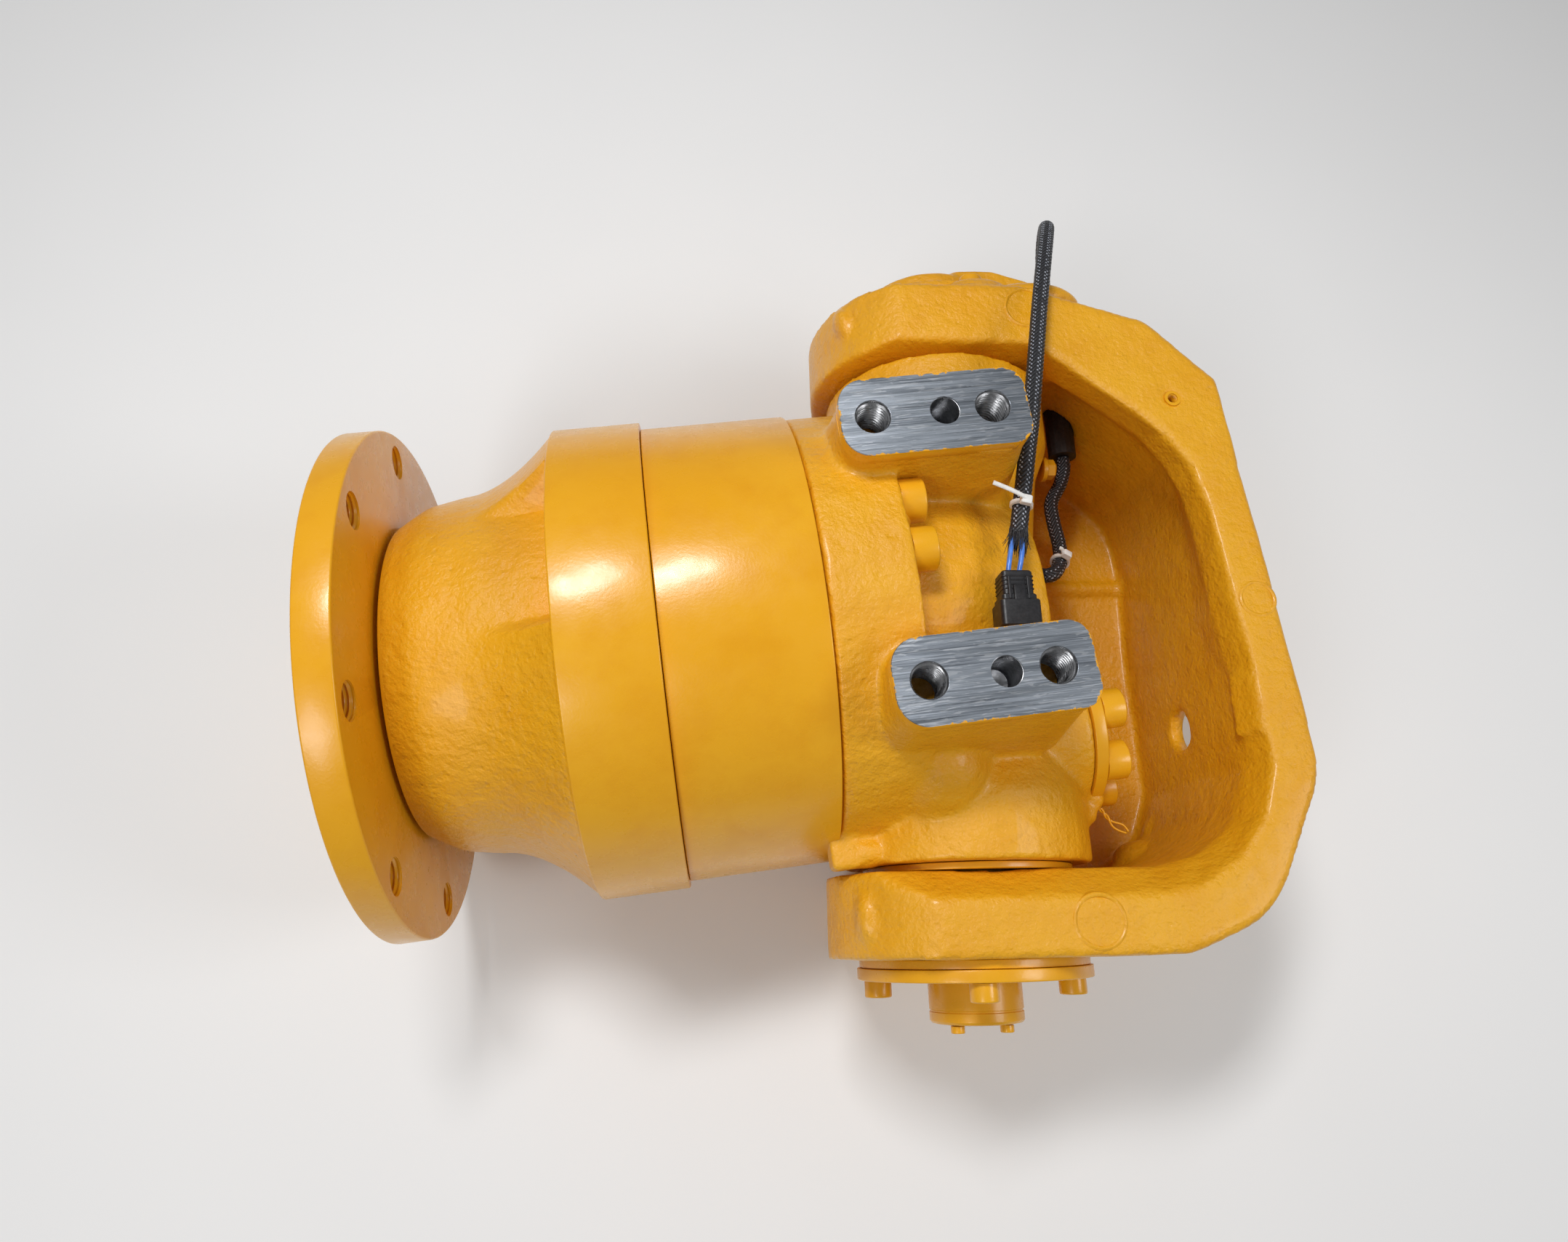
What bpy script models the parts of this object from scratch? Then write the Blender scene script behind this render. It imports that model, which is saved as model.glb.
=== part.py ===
"""Hydraulic wheel motor on a steering knuckle, held by the two kingpins of a C-shaped yoke.

Metres, +Z up. The origin is the middle of the wheel flange's outer face, +X runs along the
motor axis from the wheel to the yoke, and the kingpin axis leans a little from +Y towards +X.
Wheel side: flange and shaft, cylinder block, pistons and rollers. Knuckle side: bearing
housing, lobed cam ring, distributor, knuckle casting, port cover, speed sensor and lead.
Yoke side: cast yoke, kingpin bearings, seals and caps, steering-angle sensor housing.
"""
import math

import bmesh
import bpy
from mathutils import Matrix, Vector

MM = 0.001
GAP = 0.3                      # clearance between touching pieces, mm

# ---- driving dimensions, mm ------------------------------------------------
FLANGE_R = 155.0
FLANGE_THICK = 19.0
WHEEL_PCD_R = 137.5
WHEEL_HOLE_R = 10.4
WHEEL_HOLES = 8
WHEEL_HOLE_PHASE = -18.0       # degrees from +Z towards +Y

NECK_END = 22.0
NECK_R = 97.0
BAND_START = 119.0
BAND_R = 146.0
CAM_START = 171.0
CAM_END = 258.6
CAM_R = 142.0
HOUSING_BORE_R = 75.0

CAM_INNER_R = 112.0
CAM_LOBE = 4.0
CAM_LOBES = 6
PISTONS = 5
BLOCK_R = 90.0
BLOCK_START = 188.0
BLOCK_END = 242.0
SHAFT_R = 42.0
PISTON_R = 15.0
ROLLER_R = 9.0
ROLLER_AT = 96.0

RING_END = 308.0               # end of the knuckle's bolting ring
RING_R = 140.0
HUB_END = 396.0
HUB_END_R = 84.0
MAIN_BOLT_PCD_R = 125.0
MAIN_BOLT_ANGLES = (3.0, 17.5, 162.5, 177.5, -167.5, -152.5)

KINGPIN_X = 357.0
KINGPIN_LEAN = 6.6             # degrees
BARREL_R = 75.0
BARREL_END = 157.5
PIN_R = 36.0
PIN_END = 196.0
BEARING_BORE_R = 54.0

ARM_FACE = 162.0
ARM_OUTER = 207.0
ARM_RING_R = 86.0
YOKE_FRONT = 78.0
YOKE_BAND = 55.0
YOKE_INSIDE = 25.0             # below this height the cavity is at its widest
YOKE_BACK_INNER = -88.0
YOKE_BACK_OUTER = -108.0
YOKE_FOOT = -155.0             # the arms and web reach as low as the wheel flange
CAP_BOLT_PCD_R = 57.0
UPPER_BOLT_ANGLES = (20, 110, 200, 290)
LOWER_BOLT_ANGLES = (-9, 81, 171, 261)

PAD_TOP = 150.0
PAD_HALF_X = 52.0
PAD_HALF_Y = 23.0
PADS = (("upper", 330.0, 75.0), ("lower", 334.0, -71.0))         # side, middle x, y
PAD_HOLES = ((-34.0, 9.6), (5.5, 8.0), (32.0, 9.6))   # along the pad: place, radius

PORT_Y = -80.0
PORT_Z = 5.0
PORT_R = 52.0
PORT_FACE = 416.0
PORT_COVER_END = 424.0
PORT_BOLT_PCD_R = 40.0
PORT_BOLT_ANGLES = (3, -43, -89, -135, -181, -227)

LEAD_R = 5.0
WIRE_R = 1.4

# ---- frames ----------------------------------------------------------------
MOTOR = Matrix.Rotation(math.radians(90), 4, "Y")                     # local Z along the motor
KINGPIN_PLACE = Matrix.Translation((KINGPIN_X * MM, 0, 0)) @ Matrix.Rotation(
    math.radians(-KINGPIN_LEAN), 4, "Z")                              # u, v, z of the kingpin
KINGPIN = KINGPIN_PLACE @ Matrix.Rotation(math.radians(-90), 4, "X")  # local Z along the kingpin
LOWER_KINGPIN = KINGPIN @ Matrix.Rotation(math.pi, 4, "X")
WORLD = Matrix.Identity(4)

YELLOW = ("machine_yellow_paint", (0.86, 0.42, 0.012), 0.32, 0.0)
STEEL = ("bright_steel", (0.62, 0.63, 0.65), 0.35, 1.0)
IRON = ("cast_iron", (0.28, 0.28, 0.29), 0.6, 0.8)
RUBBER = ("black_rubber", (0.03, 0.03, 0.03), 0.7, 0.0)
BRAID = ("black_braid", (0.02, 0.02, 0.022), 0.6, 0.0)
PLASTIC = ("black_plastic", (0.03, 0.03, 0.033), 0.5, 0.0)
BLUE = ("blue_insulation", (0.06, 0.22, 0.75), 0.4, 0.0)
NYLON = ("white_nylon", (0.8, 0.8, 0.78), 0.45, 0.0)


# ---- scene and materials -----------------------------------------------------
def clear_scene():
    for obj in list(bpy.data.objects):
        bpy.data.objects.remove(obj, do_unlink=True)


def new_collection(name):
    collection = bpy.data.collections.new(name)
    bpy.context.scene.collection.children.link(collection)
    return collection


def material(spec):
    name, colour, roughness, metallic = spec
    found = bpy.data.materials.get(name)
    if found:
        return found
    made = bpy.data.materials.new(name)
    made.use_nodes = True
    shader = made.node_tree.nodes["Principled BSDF"]
    shader.inputs["Base Color"].default_value = (*colour, 1.0)
    shader.inputs["Roughness"].default_value = roughness
    shader.inputs["Metallic"].default_value = metallic
    return made


clear_scene()
PARTS = new_collection("hydraulic_motor")
CUTTERS = new_collection("cutters")


def add_object(name, data, spec=None, place=WORLD):
    """Link an object in the parts' collection, or with no material in the cutters'."""
    obj = bpy.data.objects.new(name, data)
    obj.matrix_world = place
    if spec:
        PARTS.objects.link(obj)
        data.materials.append(material(spec))
    else:
        CUTTERS.objects.link(obj)
        obj.hide_render = True
        obj.display_type = "WIRE"
    return obj


def smooth(mesh, angle=35.0):
    mesh.shade_smooth()
    mesh.set_sharp_from_angle(angle=math.radians(angle))


# ---- shapes ------------------------------------------------------------------
def cylinder_into(bm, radius, low, high, sides=32, place=WORLD, top_radius=None):
    """Add a closed cylinder or cone along local Z from low to high, all in mm."""
    middle = Matrix.Translation((0, 0, (low + high) / 2 * MM))
    bmesh.ops.create_cone(
        bm, cap_ends=True, segments=sides, radius1=radius * MM,
        radius2=(radius if top_radius is None else top_radius) * MM,
        depth=(high - low) * MM, matrix=place @ middle)


def mesh_from(name, fill):
    """A mesh from a function that adds to an empty bmesh."""
    bm = bmesh.new()
    fill(bm)
    mesh = bpy.data.meshes.new(name)
    bm.to_mesh(mesh)
    bm.free()
    smooth(mesh)
    return mesh


def cylinder(name, radius, low, high, spec=None, place=WORLD, sides=32, top_radius=None):
    def fill(bm):
        cylinder_into(bm, radius, low, high, sides, top_radius=top_radius)
    return add_object(name, mesh_from(name, fill), spec, place)


def box(name, low, high, spec=None, place=WORLD):
    def fill(bm):
        size = [(b - a) * MM for a, b in zip(low, high)]
        middle = [(a + b) / 2 * MM for a, b in zip(low, high)]
        matrix = Matrix.Translation(middle) @ Matrix.Diagonal((*size, 1))
        bmesh.ops.create_cube(bm, size=1.0, matrix=matrix)
    return add_object(name, mesh_from(name, fill), spec, place)


def turned(name, profile, spec=None, place=MOTOR, sides=48):
    """Spin a profile of (radius, height) points, listed down its outer side, about local Z."""
    mesh = bpy.data.meshes.new(name)
    points = [(r * MM, 0, h * MM) for r, h in profile]
    closed = profile[0][0] > 0
    edges = [(i, i + 1) for i in range(len(points) - 1)]
    if closed:
        edges.append((len(points) - 1, 0))
    mesh.from_pydata(points, edges, [])
    obj = add_object(name, mesh, spec, place)
    screw = obj.modifiers.new("spin", "SCREW")
    screw.steps = sides
    screw.render_steps = sides
    screw.use_merge_vertices = True
    screw.merge_threshold = 0.00001
    screw.use_smooth_shade = True
    return obj


def ring_profile(inner, outer, low, high):
    """Closed profile of a plain ring."""
    return [(outer, high), (outer, low), (inner, low), (inner, high)]


def fillet(corners, steps=5):
    """Round a polygon's corners: each corner is (x, y) or (x, y, radius)."""
    out = []
    count = len(corners)
    for i, corner in enumerate(corners):
        here = Vector(corner[:2])
        radius = corner[2] if len(corner) > 2 else 0.0
        if radius <= 0:
            out.append(here)
            continue
        back = (Vector(corners[i - 1][:2]) - here).normalized()
        ahead = (Vector(corners[(i + 1) % count][:2]) - here).normalized()
        half = back.angle(ahead) / 2
        reach = radius / math.tan(half)
        centre = here + (back + ahead).normalized() * radius / math.sin(half)
        start = here + back * reach - centre
        end = here + ahead * reach - centre
        turn = start.angle_signed(end)
        for k in range(steps + 1):
            angle = -turn * k / steps
            out.append(centre + Matrix.Rotation(angle, 2) @ start)
    return [(p.x, p.y) for p in out]


def plate(name, outline, low, high, spec=None, place=WORLD):
    """A flat outline in local XY, extruded from low to high along local Z."""
    curve = bpy.data.curves.new(name + "_outline", "CURVE")
    curve.dimensions = "2D"
    curve.fill_mode = "BOTH"
    curve.extrude = (high - low) / 2 * MM
    spline = curve.splines.new("POLY")
    spline.points.add(len(outline) - 1)
    for point, (x, y) in zip(spline.points, outline):
        point.co = (x * MM, y * MM, 0, 1)
    spline.use_cyclic_u = True
    source = bpy.data.objects.new(name + "_source", curve)
    CUTTERS.objects.link(source)
    bpy.context.view_layer.update()
    graph = bpy.context.evaluated_depsgraph_get()
    mesh = bpy.data.meshes.new_from_object(source.evaluated_get(graph))
    bpy.data.objects.remove(source, do_unlink=True)
    bm = bmesh.new()
    bm.from_mesh(mesh)
    bmesh.ops.translate(bm, verts=bm.verts, vec=(0, 0, (low + high) / 2 * MM))
    bmesh.ops.remove_doubles(bm, verts=bm.verts, dist=0.00001)
    bmesh.ops.recalc_face_normals(bm, faces=bm.faces)
    bm.to_mesh(mesh)
    bm.free()
    mesh.materials.clear()
    smooth(mesh)
    return add_object(name, mesh, spec, place)


def loft(name, sections, spec=None, place=WORLD):
    """Join outlines of equal length, each (height, points), into one closed solid."""
    def fill(bm):
        rings = []
        for height, points in sections:
            rings.append([bm.verts.new((x * MM, y * MM, height * MM)) for x, y in points])
        for lower, upper in zip(rings, rings[1:]):
            for i in range(len(lower)):
                j = (i + 1) % len(lower)
                bm.faces.new((lower[i], lower[j], upper[j], upper[i]))
        bm.faces.new(rings[0])
        bm.faces.new(rings[-1])
        bmesh.ops.recalc_face_normals(bm, faces=bm.faces)
        bmesh.ops.triangulate(bm, faces=[f for f in bm.faces if len(f.verts) > 4])
    return add_object(name, mesh_from(name, fill), spec, place)


def tube(name, points, radius, spec, steps=4, resolution=2):
    """A cord through route points: a smooth curve read at even steps, as a round tube."""
    route = [Vector(p) * MM for p in points]
    path = []
    for i in range(len(route) - 1):
        before = route[max(i - 1, 0)]
        after = route[min(i + 2, len(route) - 1)]
        start, end = route[i], route[i + 1]
        for k in range(steps):
            t = k / steps
            path.append(0.5 * ((2 * start) + (end - before) * t
                               + (2 * before - 5 * start + 4 * end - after) * t * t
                               + (3 * start - before - 3 * end + after) * t ** 3))
    path.append(route[-1])
    curve = bpy.data.curves.new(name, "CURVE")
    curve.dimensions = "3D"
    curve.bevel_depth = radius * MM
    curve.bevel_resolution = resolution
    curve.use_fill_caps = True
    spline = curve.splines.new("POLY")
    spline.points.add(len(path) - 1)
    for point, place in zip(spline.points, path):
        point.co = (*place, 1)
    return add_object(name, curve, spec)


def boolean(obj, other, operation):
    step = obj.modifiers.new(operation.lower(), "BOOLEAN")
    step.operation = operation
    step.solver = "EXACT"
    step.object = other


def bore(obj, holes, sides=16):
    """Cut straight holes, each (place, radius, low, high) with local Z down the hole."""
    def fill(bm):
        for place, radius, low, high in holes:
            cylinder_into(bm, radius, low, high, sides, place)
    cutter = add_object(obj.name + "_holes", mesh_from(obj.name + "_holes", fill))
    boolean(obj, cutter, "DIFFERENCE")


def around(frame, radius, degrees):
    """A place on a circle about a frame's local Z; degrees run from world +Z towards +Y."""
    turn = Matrix.Rotation(math.radians(-degrees), 4, "Z")
    return frame @ turn @ Matrix.Translation((-radius * MM, 0, 0))


def socket_bolt(name, place, head_r, head_h, shank_r, shank, spec=YELLOW):
    """Socket-head bolt: seat at local Z = 0, head upwards, shank down, hex socket on top."""
    profile = [(0, head_h), (head_r, head_h), (head_r, 0),
               (shank_r, 0), (shank_r, -shank), (0, -shank)]
    bolt = turned(name, profile, spec, place, sides=12)
    socket = cylinder(name + "_socket", head_r * 0.52, head_h * 0.4, head_h + 2,
                      place=place, sides=6)
    boolean(bolt, socket, "DIFFERENCE")
    return bolt


# ---- wheel side ----------------------------------------------------------------
def wheel_side():
    shaft = turned("drive_shaft", [
        (0, 252), (SHAFT_R, 252), (SHAFT_R, 48), (60, 48), (60, 28), (66, FLANGE_THICK),
        (FLANGE_R - 1, FLANGE_THICK), (FLANGE_R, FLANGE_THICK - 1), (FLANGE_R, 1),
        (FLANGE_R - 1, 0), (0, 0)], YELLOW)
    holes = []
    for k in range(WHEEL_HOLES):
        angle = WHEEL_HOLE_PHASE + k * 360 / WHEEL_HOLES
        holes.append((around(MOTOR, WHEEL_PCD_R, angle), WHEEL_HOLE_R, -2, FLANGE_THICK + 2))
    bore(shaft, holes, 16)

    block = turned("cylinder_block", ring_profile(
        SHAFT_R + GAP, BLOCK_R, BLOCK_START, BLOCK_END), IRON)
    middle = Matrix.Translation(((BLOCK_START + BLOCK_END) / 2 * MM, 0, 0))
    bores = []
    for k in range(PISTONS):
        turn = Matrix.Rotation(math.radians(k * 360 / PISTONS), 4, "X")
        radial = middle @ turn
        bores.append((radial, PISTON_R + GAP, 58, BLOCK_R + 5))
        cylinder(f"piston_{k + 1}", PISTON_R, 58.5, ROLLER_AT - ROLLER_R - 0.5, STEEL, radial,
                 sides=20)
        lying = radial @ Matrix.Translation((0, 0, ROLLER_AT * MM)) @ MOTOR
        cylinder(f"piston_roller_{k + 1}", ROLLER_R, -12, 12, STEEL, lying, sides=16)
    bore(block, bores)


# ---- knuckle side ----------------------------------------------------------------
def housing_and_cam():
    turned("bearing_housing", [
        (105, CAM_START), (BAND_R, CAM_START), (BAND_R, BAND_START), (144, 114), (126, 95),
        (116, 80), (111, 62), (107, 40), (NECK_R, NECK_END), (HOUSING_BORE_R, NECK_END),
        (HOUSING_BORE_R, 152), (105, 156)], YELLOW)
    turned("shaft_lip_seal", ring_profile(60 + GAP, HOUSING_BORE_R - GAP, 31, 41), RUBBER,
           sides=40)
    for name, low in (("front_shaft_bearing", 56), ("rear_shaft_bearing", 118)):
        turned(name, ring_profile(SHAFT_R + GAP, HOUSING_BORE_R - GAP, low, low + 26), STEEL,
               sides=32)

    cam = cylinder("cam_ring", CAM_R, CAM_START + GAP, CAM_END - GAP, YELLOW, MOTOR, sides=60)
    lobes = []
    for k in range(72):
        angle = 2 * math.pi * k / 72
        radius = CAM_INNER_R + CAM_LOBE * math.cos(CAM_LOBES * angle)
        lobes.append((radius * math.cos(angle), radius * math.sin(angle)))
    track = plate("cam_track", lobes, CAM_START - 5, CAM_END + 5, place=MOTOR)
    boolean(cam, track, "DIFFERENCE")
    bore(cam, [(around(MOTOR, MAIN_BOLT_PCD_R, a), 7.3, CAM_END - 20, CAM_END + 5)
               for a in MAIN_BOLT_ANGLES], 16)


def pad_outline(margin=0.0):
    x, y = PAD_HALF_X + margin, PAD_HALF_Y + margin
    return fillet([(-x, -y, 16), (x, -y, 12), (x, y, 12), (-x, y, 16)], 4)


def knuckle():
    body = turned("knuckle", [
        (0, HUB_END), (HUB_END_R, HUB_END), (103, 350), (110, RING_END), (RING_R, RING_END),
        (RING_R, CAM_END + GAP), (0, CAM_END + GAP)], YELLOW)
    for side, sign in (("upper", 1), ("lower", -1)):
        flip = KINGPIN if sign > 0 else KINGPIN @ Matrix.Rotation(math.pi, 4, "X")
        barrel = turned(side + "_trunnion", [
            (0, PIN_END), (PIN_R, PIN_END), (PIN_R, BARREL_END), (BARREL_R, BARREL_END),
            (BARREL_R, 118), (66, 96), (60, 50), (0, 50)], place=flip, sides=40)
        boolean(body, barrel, "UNION")
    for side, x, y in PADS:
        place = Matrix.Translation((x * MM, y * MM, 0))
        foot = loft(side + "_pad_block", [
            (60, pad_outline(7)), (PAD_TOP - 16, pad_outline(0)), (PAD_TOP, pad_outline(0))],
            place=place)
        boolean(body, foot, "UNION")
    port_place = Matrix.Translation((0, PORT_Y * MM, PORT_Z * MM)) @ MOTOR
    port_boss = cylinder("port_boss", PORT_R, 340, PORT_FACE, place=port_place, sides=40)
    boolean(body, port_boss, "UNION")

    holes = [(MOTOR, 86, CAM_END - 10, 302), (port_place, PORT_R + 2, PORT_FACE, 450)]
    bore(body, holes, 48)
    bpy.data.objects["knuckle_holes"].name = "knuckle_chambers"
    holes = []
    for side, x, y in PADS:
        for along, radius in PAD_HOLES:
            place = Matrix.Translation(((x + along) * MM, y * MM, 0))
            holes.append((place, radius, PAD_TOP - 32, PAD_TOP + 3))
    for angle in MAIN_BOLT_ANGLES:
        place = around(MOTOR, MAIN_BOLT_PCD_R, angle)
        holes.append((place, 7.3, CAM_END - 5, RING_END + 3))
    for angle in PORT_BOLT_ANGLES:
        holes.append((around(port_place, PORT_BOLT_PCD_R, angle), 5.3, PORT_FACE - 20, PORT_FACE + 4))
    bore(body, holes, 16)

    for k, angle in enumerate(MAIN_BOLT_ANGLES):
        place = around(MOTOR, MAIN_BOLT_PCD_R, angle)
        seat = place @ Matrix.Translation((0, 0, (RING_END + GAP) * MM))
        socket_bolt(f"main_bolt_{k + 1}", seat, 12.5, 14.0, 7.0, 62.0)

    cover = cylinder("port_cover", PORT_R, PORT_FACE + GAP, PORT_COVER_END, YELLOW,
                     port_place, sides=40)
    bore(cover, [(around(port_place, PORT_BOLT_PCD_R, a), 5.3, PORT_FACE - 5, PORT_COVER_END + 5)
                 for a in PORT_BOLT_ANGLES], 12)
    for k, angle in enumerate(PORT_BOLT_ANGLES):
        place = around(port_place, PORT_BOLT_PCD_R, angle)
        seat = place @ Matrix.Translation((0, 0, (PORT_COVER_END + GAP) * MM))
        socket_bolt(f"port_cover_bolt_{k + 1}", seat, 12.0, 14.0, 5.0, 24.0)

    turned("distributor", ring_profile(30, 86 - GAP, 262, 298), STEEL)


# ---- yoke side ----------------------------------------------------------------
def yoke():
    outer = fillet([
        (-90, ARM_OUTER), (46, ARM_OUTER, 10), (126, 182, 20), (168, 139, 10),
        (190, -112, 60), (150, -190, 60), (100, -ARM_OUTER - 2, 30), (-90, -ARM_OUTER - 2)], 5)
    body = plate("yoke", outer, YOKE_FOOT, YOKE_FRONT, YELLOW, KINGPIN_PLACE)

    # Side view, in u and z: arm ends round in front and straight-sided behind.
    side = []
    for k in range(17):
        angle = math.radians(65 + k * (125.0 / 16))
        side.append((ARM_RING_R * math.cos(angle), ARM_RING_R * math.sin(angle)))
    side += [(-62, YOKE_FOOT), (178, YOKE_FOOT), (192, YOKE_FOOT + 14), (192, YOKE_FRONT - 4),
             (188, YOKE_FRONT), (ARM_RING_R * math.cos(math.radians(65)), YOKE_FRONT)]
    upright = KINGPIN_PLACE @ Matrix.Rotation(math.radians(90), 4, "X")
    envelope = plate("yoke_side_view", side, -240, 240, place=upright)
    boolean(body, envelope, "INTERSECT")

    front = [(-100, 166), (45, 163), (57, 157), (84, 136), (110, 115), (127, 99), (142, 77),
             (149, 48), (155, -13), (161, -65), (162, -108), (152, -137), (135, -160),
             (108, -175), (84, -178), (45, -178), (-100, -178)]
    band = [(-100, ARM_FACE), (60, ARM_FACE), (66, 150), (92, 131), (119, 110), (134, 89),
            (143, 68), (147, 44), (151, -13), (157, -60), (157, -106), (147, -133),
            (135, -146), (120, -156), (95, -162), (50, -ARM_FACE), (-100, -ARM_FACE)]
    deep = [(-100, ARM_FACE), (66, ARM_FACE), (84, 166), (112, 143), (136, 122), (150, 106),
            (157, 86), (159, 60), (156, -13), (157, -60), (157, -106), (147, -133),
            (135, -146), (120, -156), (95, -162), (50, -ARM_FACE), (-100, -ARM_FACE)]
    cavity = loft("yoke_cavity", [
        (YOKE_BACK_INNER, deep), (YOKE_INSIDE, deep), (YOKE_BAND, band), (YOKE_FRONT + 0.1, front),
        (YOKE_FRONT + 20, front)], place=KINGPIN_PLACE)
    boolean(body, cavity, "DIFFERENCE")
    behind = fillet([(-100, -ARM_FACE), (120, -ARM_FACE, 24), (150, -118, 24), (150, 84, 24),
                     (106, 140, 24), (60, ARM_FACE, 10), (-100, ARM_FACE)], 3)
    pocket = plate("yoke_rear_pocket", behind, YOKE_FOOT - 10, YOKE_BACK_OUTER,
                   place=KINGPIN_PLACE)
    boolean(body, pocket, "DIFFERENCE")
    throat = box("yoke_throat", (-100, -ARM_FACE, YOKE_FOOT), (62, ARM_FACE, 0),
                 place=KINGPIN_PLACE)
    boolean(body, throat, "DIFFERENCE")

    web_hole = KINGPIN_PLACE @ Matrix.Translation((0, -70 * MM, -20 * MM)) @ MOTOR
    cable_hole = KINGPIN_PLACE @ Matrix.Translation((97 * MM, 0, -15 * MM)) @ Matrix.Rotation(
        math.radians(-90), 4, "X")
    bore(body, [
        (KINGPIN, BEARING_BORE_R, -ARM_OUTER - 10, -ARM_FACE + 10),
        (KINGPIN, BEARING_BORE_R, ARM_FACE - 10, ARM_OUTER + 10)], 40)
    holes = [(web_hole, 13, 130, 220), (cable_hole, 10, 100, 230),
             (KINGPIN_PLACE @ Matrix.Translation((136 * MM, 124 * MM, 0)), 3.2, 60, 90)]
    for frame, angles in ((KINGPIN, UPPER_BOLT_ANGLES), (LOWER_KINGPIN, LOWER_BOLT_ANGLES)):
        for angle in angles:
            holes.append((cap_place(frame, angle), 5.3, ARM_OUTER - 16, ARM_OUTER + 6))
    cutter = bpy.data.objects["yoke_holes"]
    cutter.name = "kingpin_bores"
    bore(body, holes, 16)

    seat = ARM_OUTER + 2
    for side, frame, sign in (("upper", KINGPIN, 1), ("lower", LOWER_KINGPIN, -1)):
        turned(side + "_kingpin_bearing", ring_profile(
            PIN_R + GAP, BEARING_BORE_R - GAP, ARM_FACE + 6, ARM_FACE + 30), STEEL, frame,
            sides=32)
        turned(side + "_kingpin_seal", ring_profile(
            PIN_R + 3, 65, BARREL_END + GAP, ARM_FACE - GAP), RUBBER, frame, sides=32)
    cap = turned("upper_kingpin_cap", [
        (0, 242), (40, 242), (46, 238), (48, ARM_OUTER + 10),
        (68, ARM_OUTER + 10), (68, ARM_OUTER + GAP),
        (0, ARM_OUTER + GAP)], YELLOW, KINGPIN, sides=40)
    boss = plate("upper_cap_boss", [
        (0, 210), (86, 210), (84, 222), (66, 237), (38, 245), (12, 245), (0, 236)], -8, 42,
        place=KINGPIN_PLACE)
    boolean(cap, boss, "UNION")
    bore(cap, [(cap_place(KINGPIN, a), 5.3, ARM_OUTER - 4, 240) for a in UPPER_BOLT_ANGLES], 12)
    for k, angle in enumerate(UPPER_BOLT_ANGLES):
        place = cap_place(KINGPIN, angle) @ Matrix.Translation(
            (0, 0, (ARM_OUTER + 10 + GAP) * MM))
        socket_bolt(f"upper_cap_bolt_{k + 1}", place, 8.0, 10.0, 5.0, 24.0)

    shim = turned("lower_cap_shim", ring_profile(30, 67.5, seat + GAP, seat + 5), YELLOW,
                  LOWER_KINGPIN, sides=40)
    lower = turned("lower_kingpin_cap", ring_profile(
        12, 69, seat + 5 + GAP, seat + 12), YELLOW, LOWER_KINGPIN, sides=40)
    bore(shim, [(cap_place(LOWER_KINGPIN, a), 5.3, seat - 4, seat + 20)
                for a in LOWER_BOLT_ANGLES], 12)
    bore(lower, [(cap_place(LOWER_KINGPIN, a), 5.3, seat - 4, seat + 20)
                 for a in LOWER_BOLT_ANGLES], 12)
    for k, angle in enumerate(LOWER_BOLT_ANGLES):
        place = cap_place(LOWER_KINGPIN, angle) @ Matrix.Translation(
            (0, 0, (seat + 12 + GAP) * MM))
        socket_bolt(f"lower_cap_bolt_{k + 1}", place, 8.0, 10.0, 5.0, 26.0)
    sensor = turned("steering_sensor_housing", [
        (0, 246), (27.5, 246), (27.5, seat + 12 + GAP), (0, seat + 12 + GAP)],
        YELLOW, LOWER_KINGPIN, sides=32)
    places = [cap_place(LOWER_KINGPIN, a, 20) for a in (-48, 42)]
    bore(sensor, [(place, 2.3, 236, 250) for place in places], 10)
    for k, place in enumerate(places):
        screw = place @ Matrix.Translation((0, 0, (246 + GAP) * MM))
        socket_bolt(f"sensor_screw_{k + 1}", screw, 4.0, 4.0, 2.0, 8.0)

    cylinder("lead_grommet", 10 - GAP, 129.0, 193.0, RUBBER, cable_hole, sides=16)


LOWER_KINGPIN = KINGPIN @ Matrix.Rotation(math.pi, 4, "X")
UPPER_BOLT_ANGLES = (20, 110, 200, 290)
LOWER_BOLT_ANGLES = (-9, 81, 171, 261)


def cap_place(frame, degrees, radius=CAP_BOLT_PCD_R):
    """A bolt place on a kingpin cap; degrees run from world +Z towards the web."""
    sign = 1 if frame is KINGPIN else -1
    turn = Matrix.Rotation(math.radians(-sign * (90 - degrees)), 4, "Z")
    return frame @ turn @ Matrix.Translation((radius * MM, 0, 0))


# ---- speed sensor, its lead and connector --------------------------------------
def at(u, v, z):
    """World millimetres of a point given along and across the kingpin axis."""
    return tuple(c / MM for c in KINGPIN_PLACE @ Vector((u * MM, v * MM, z * MM)))


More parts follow.
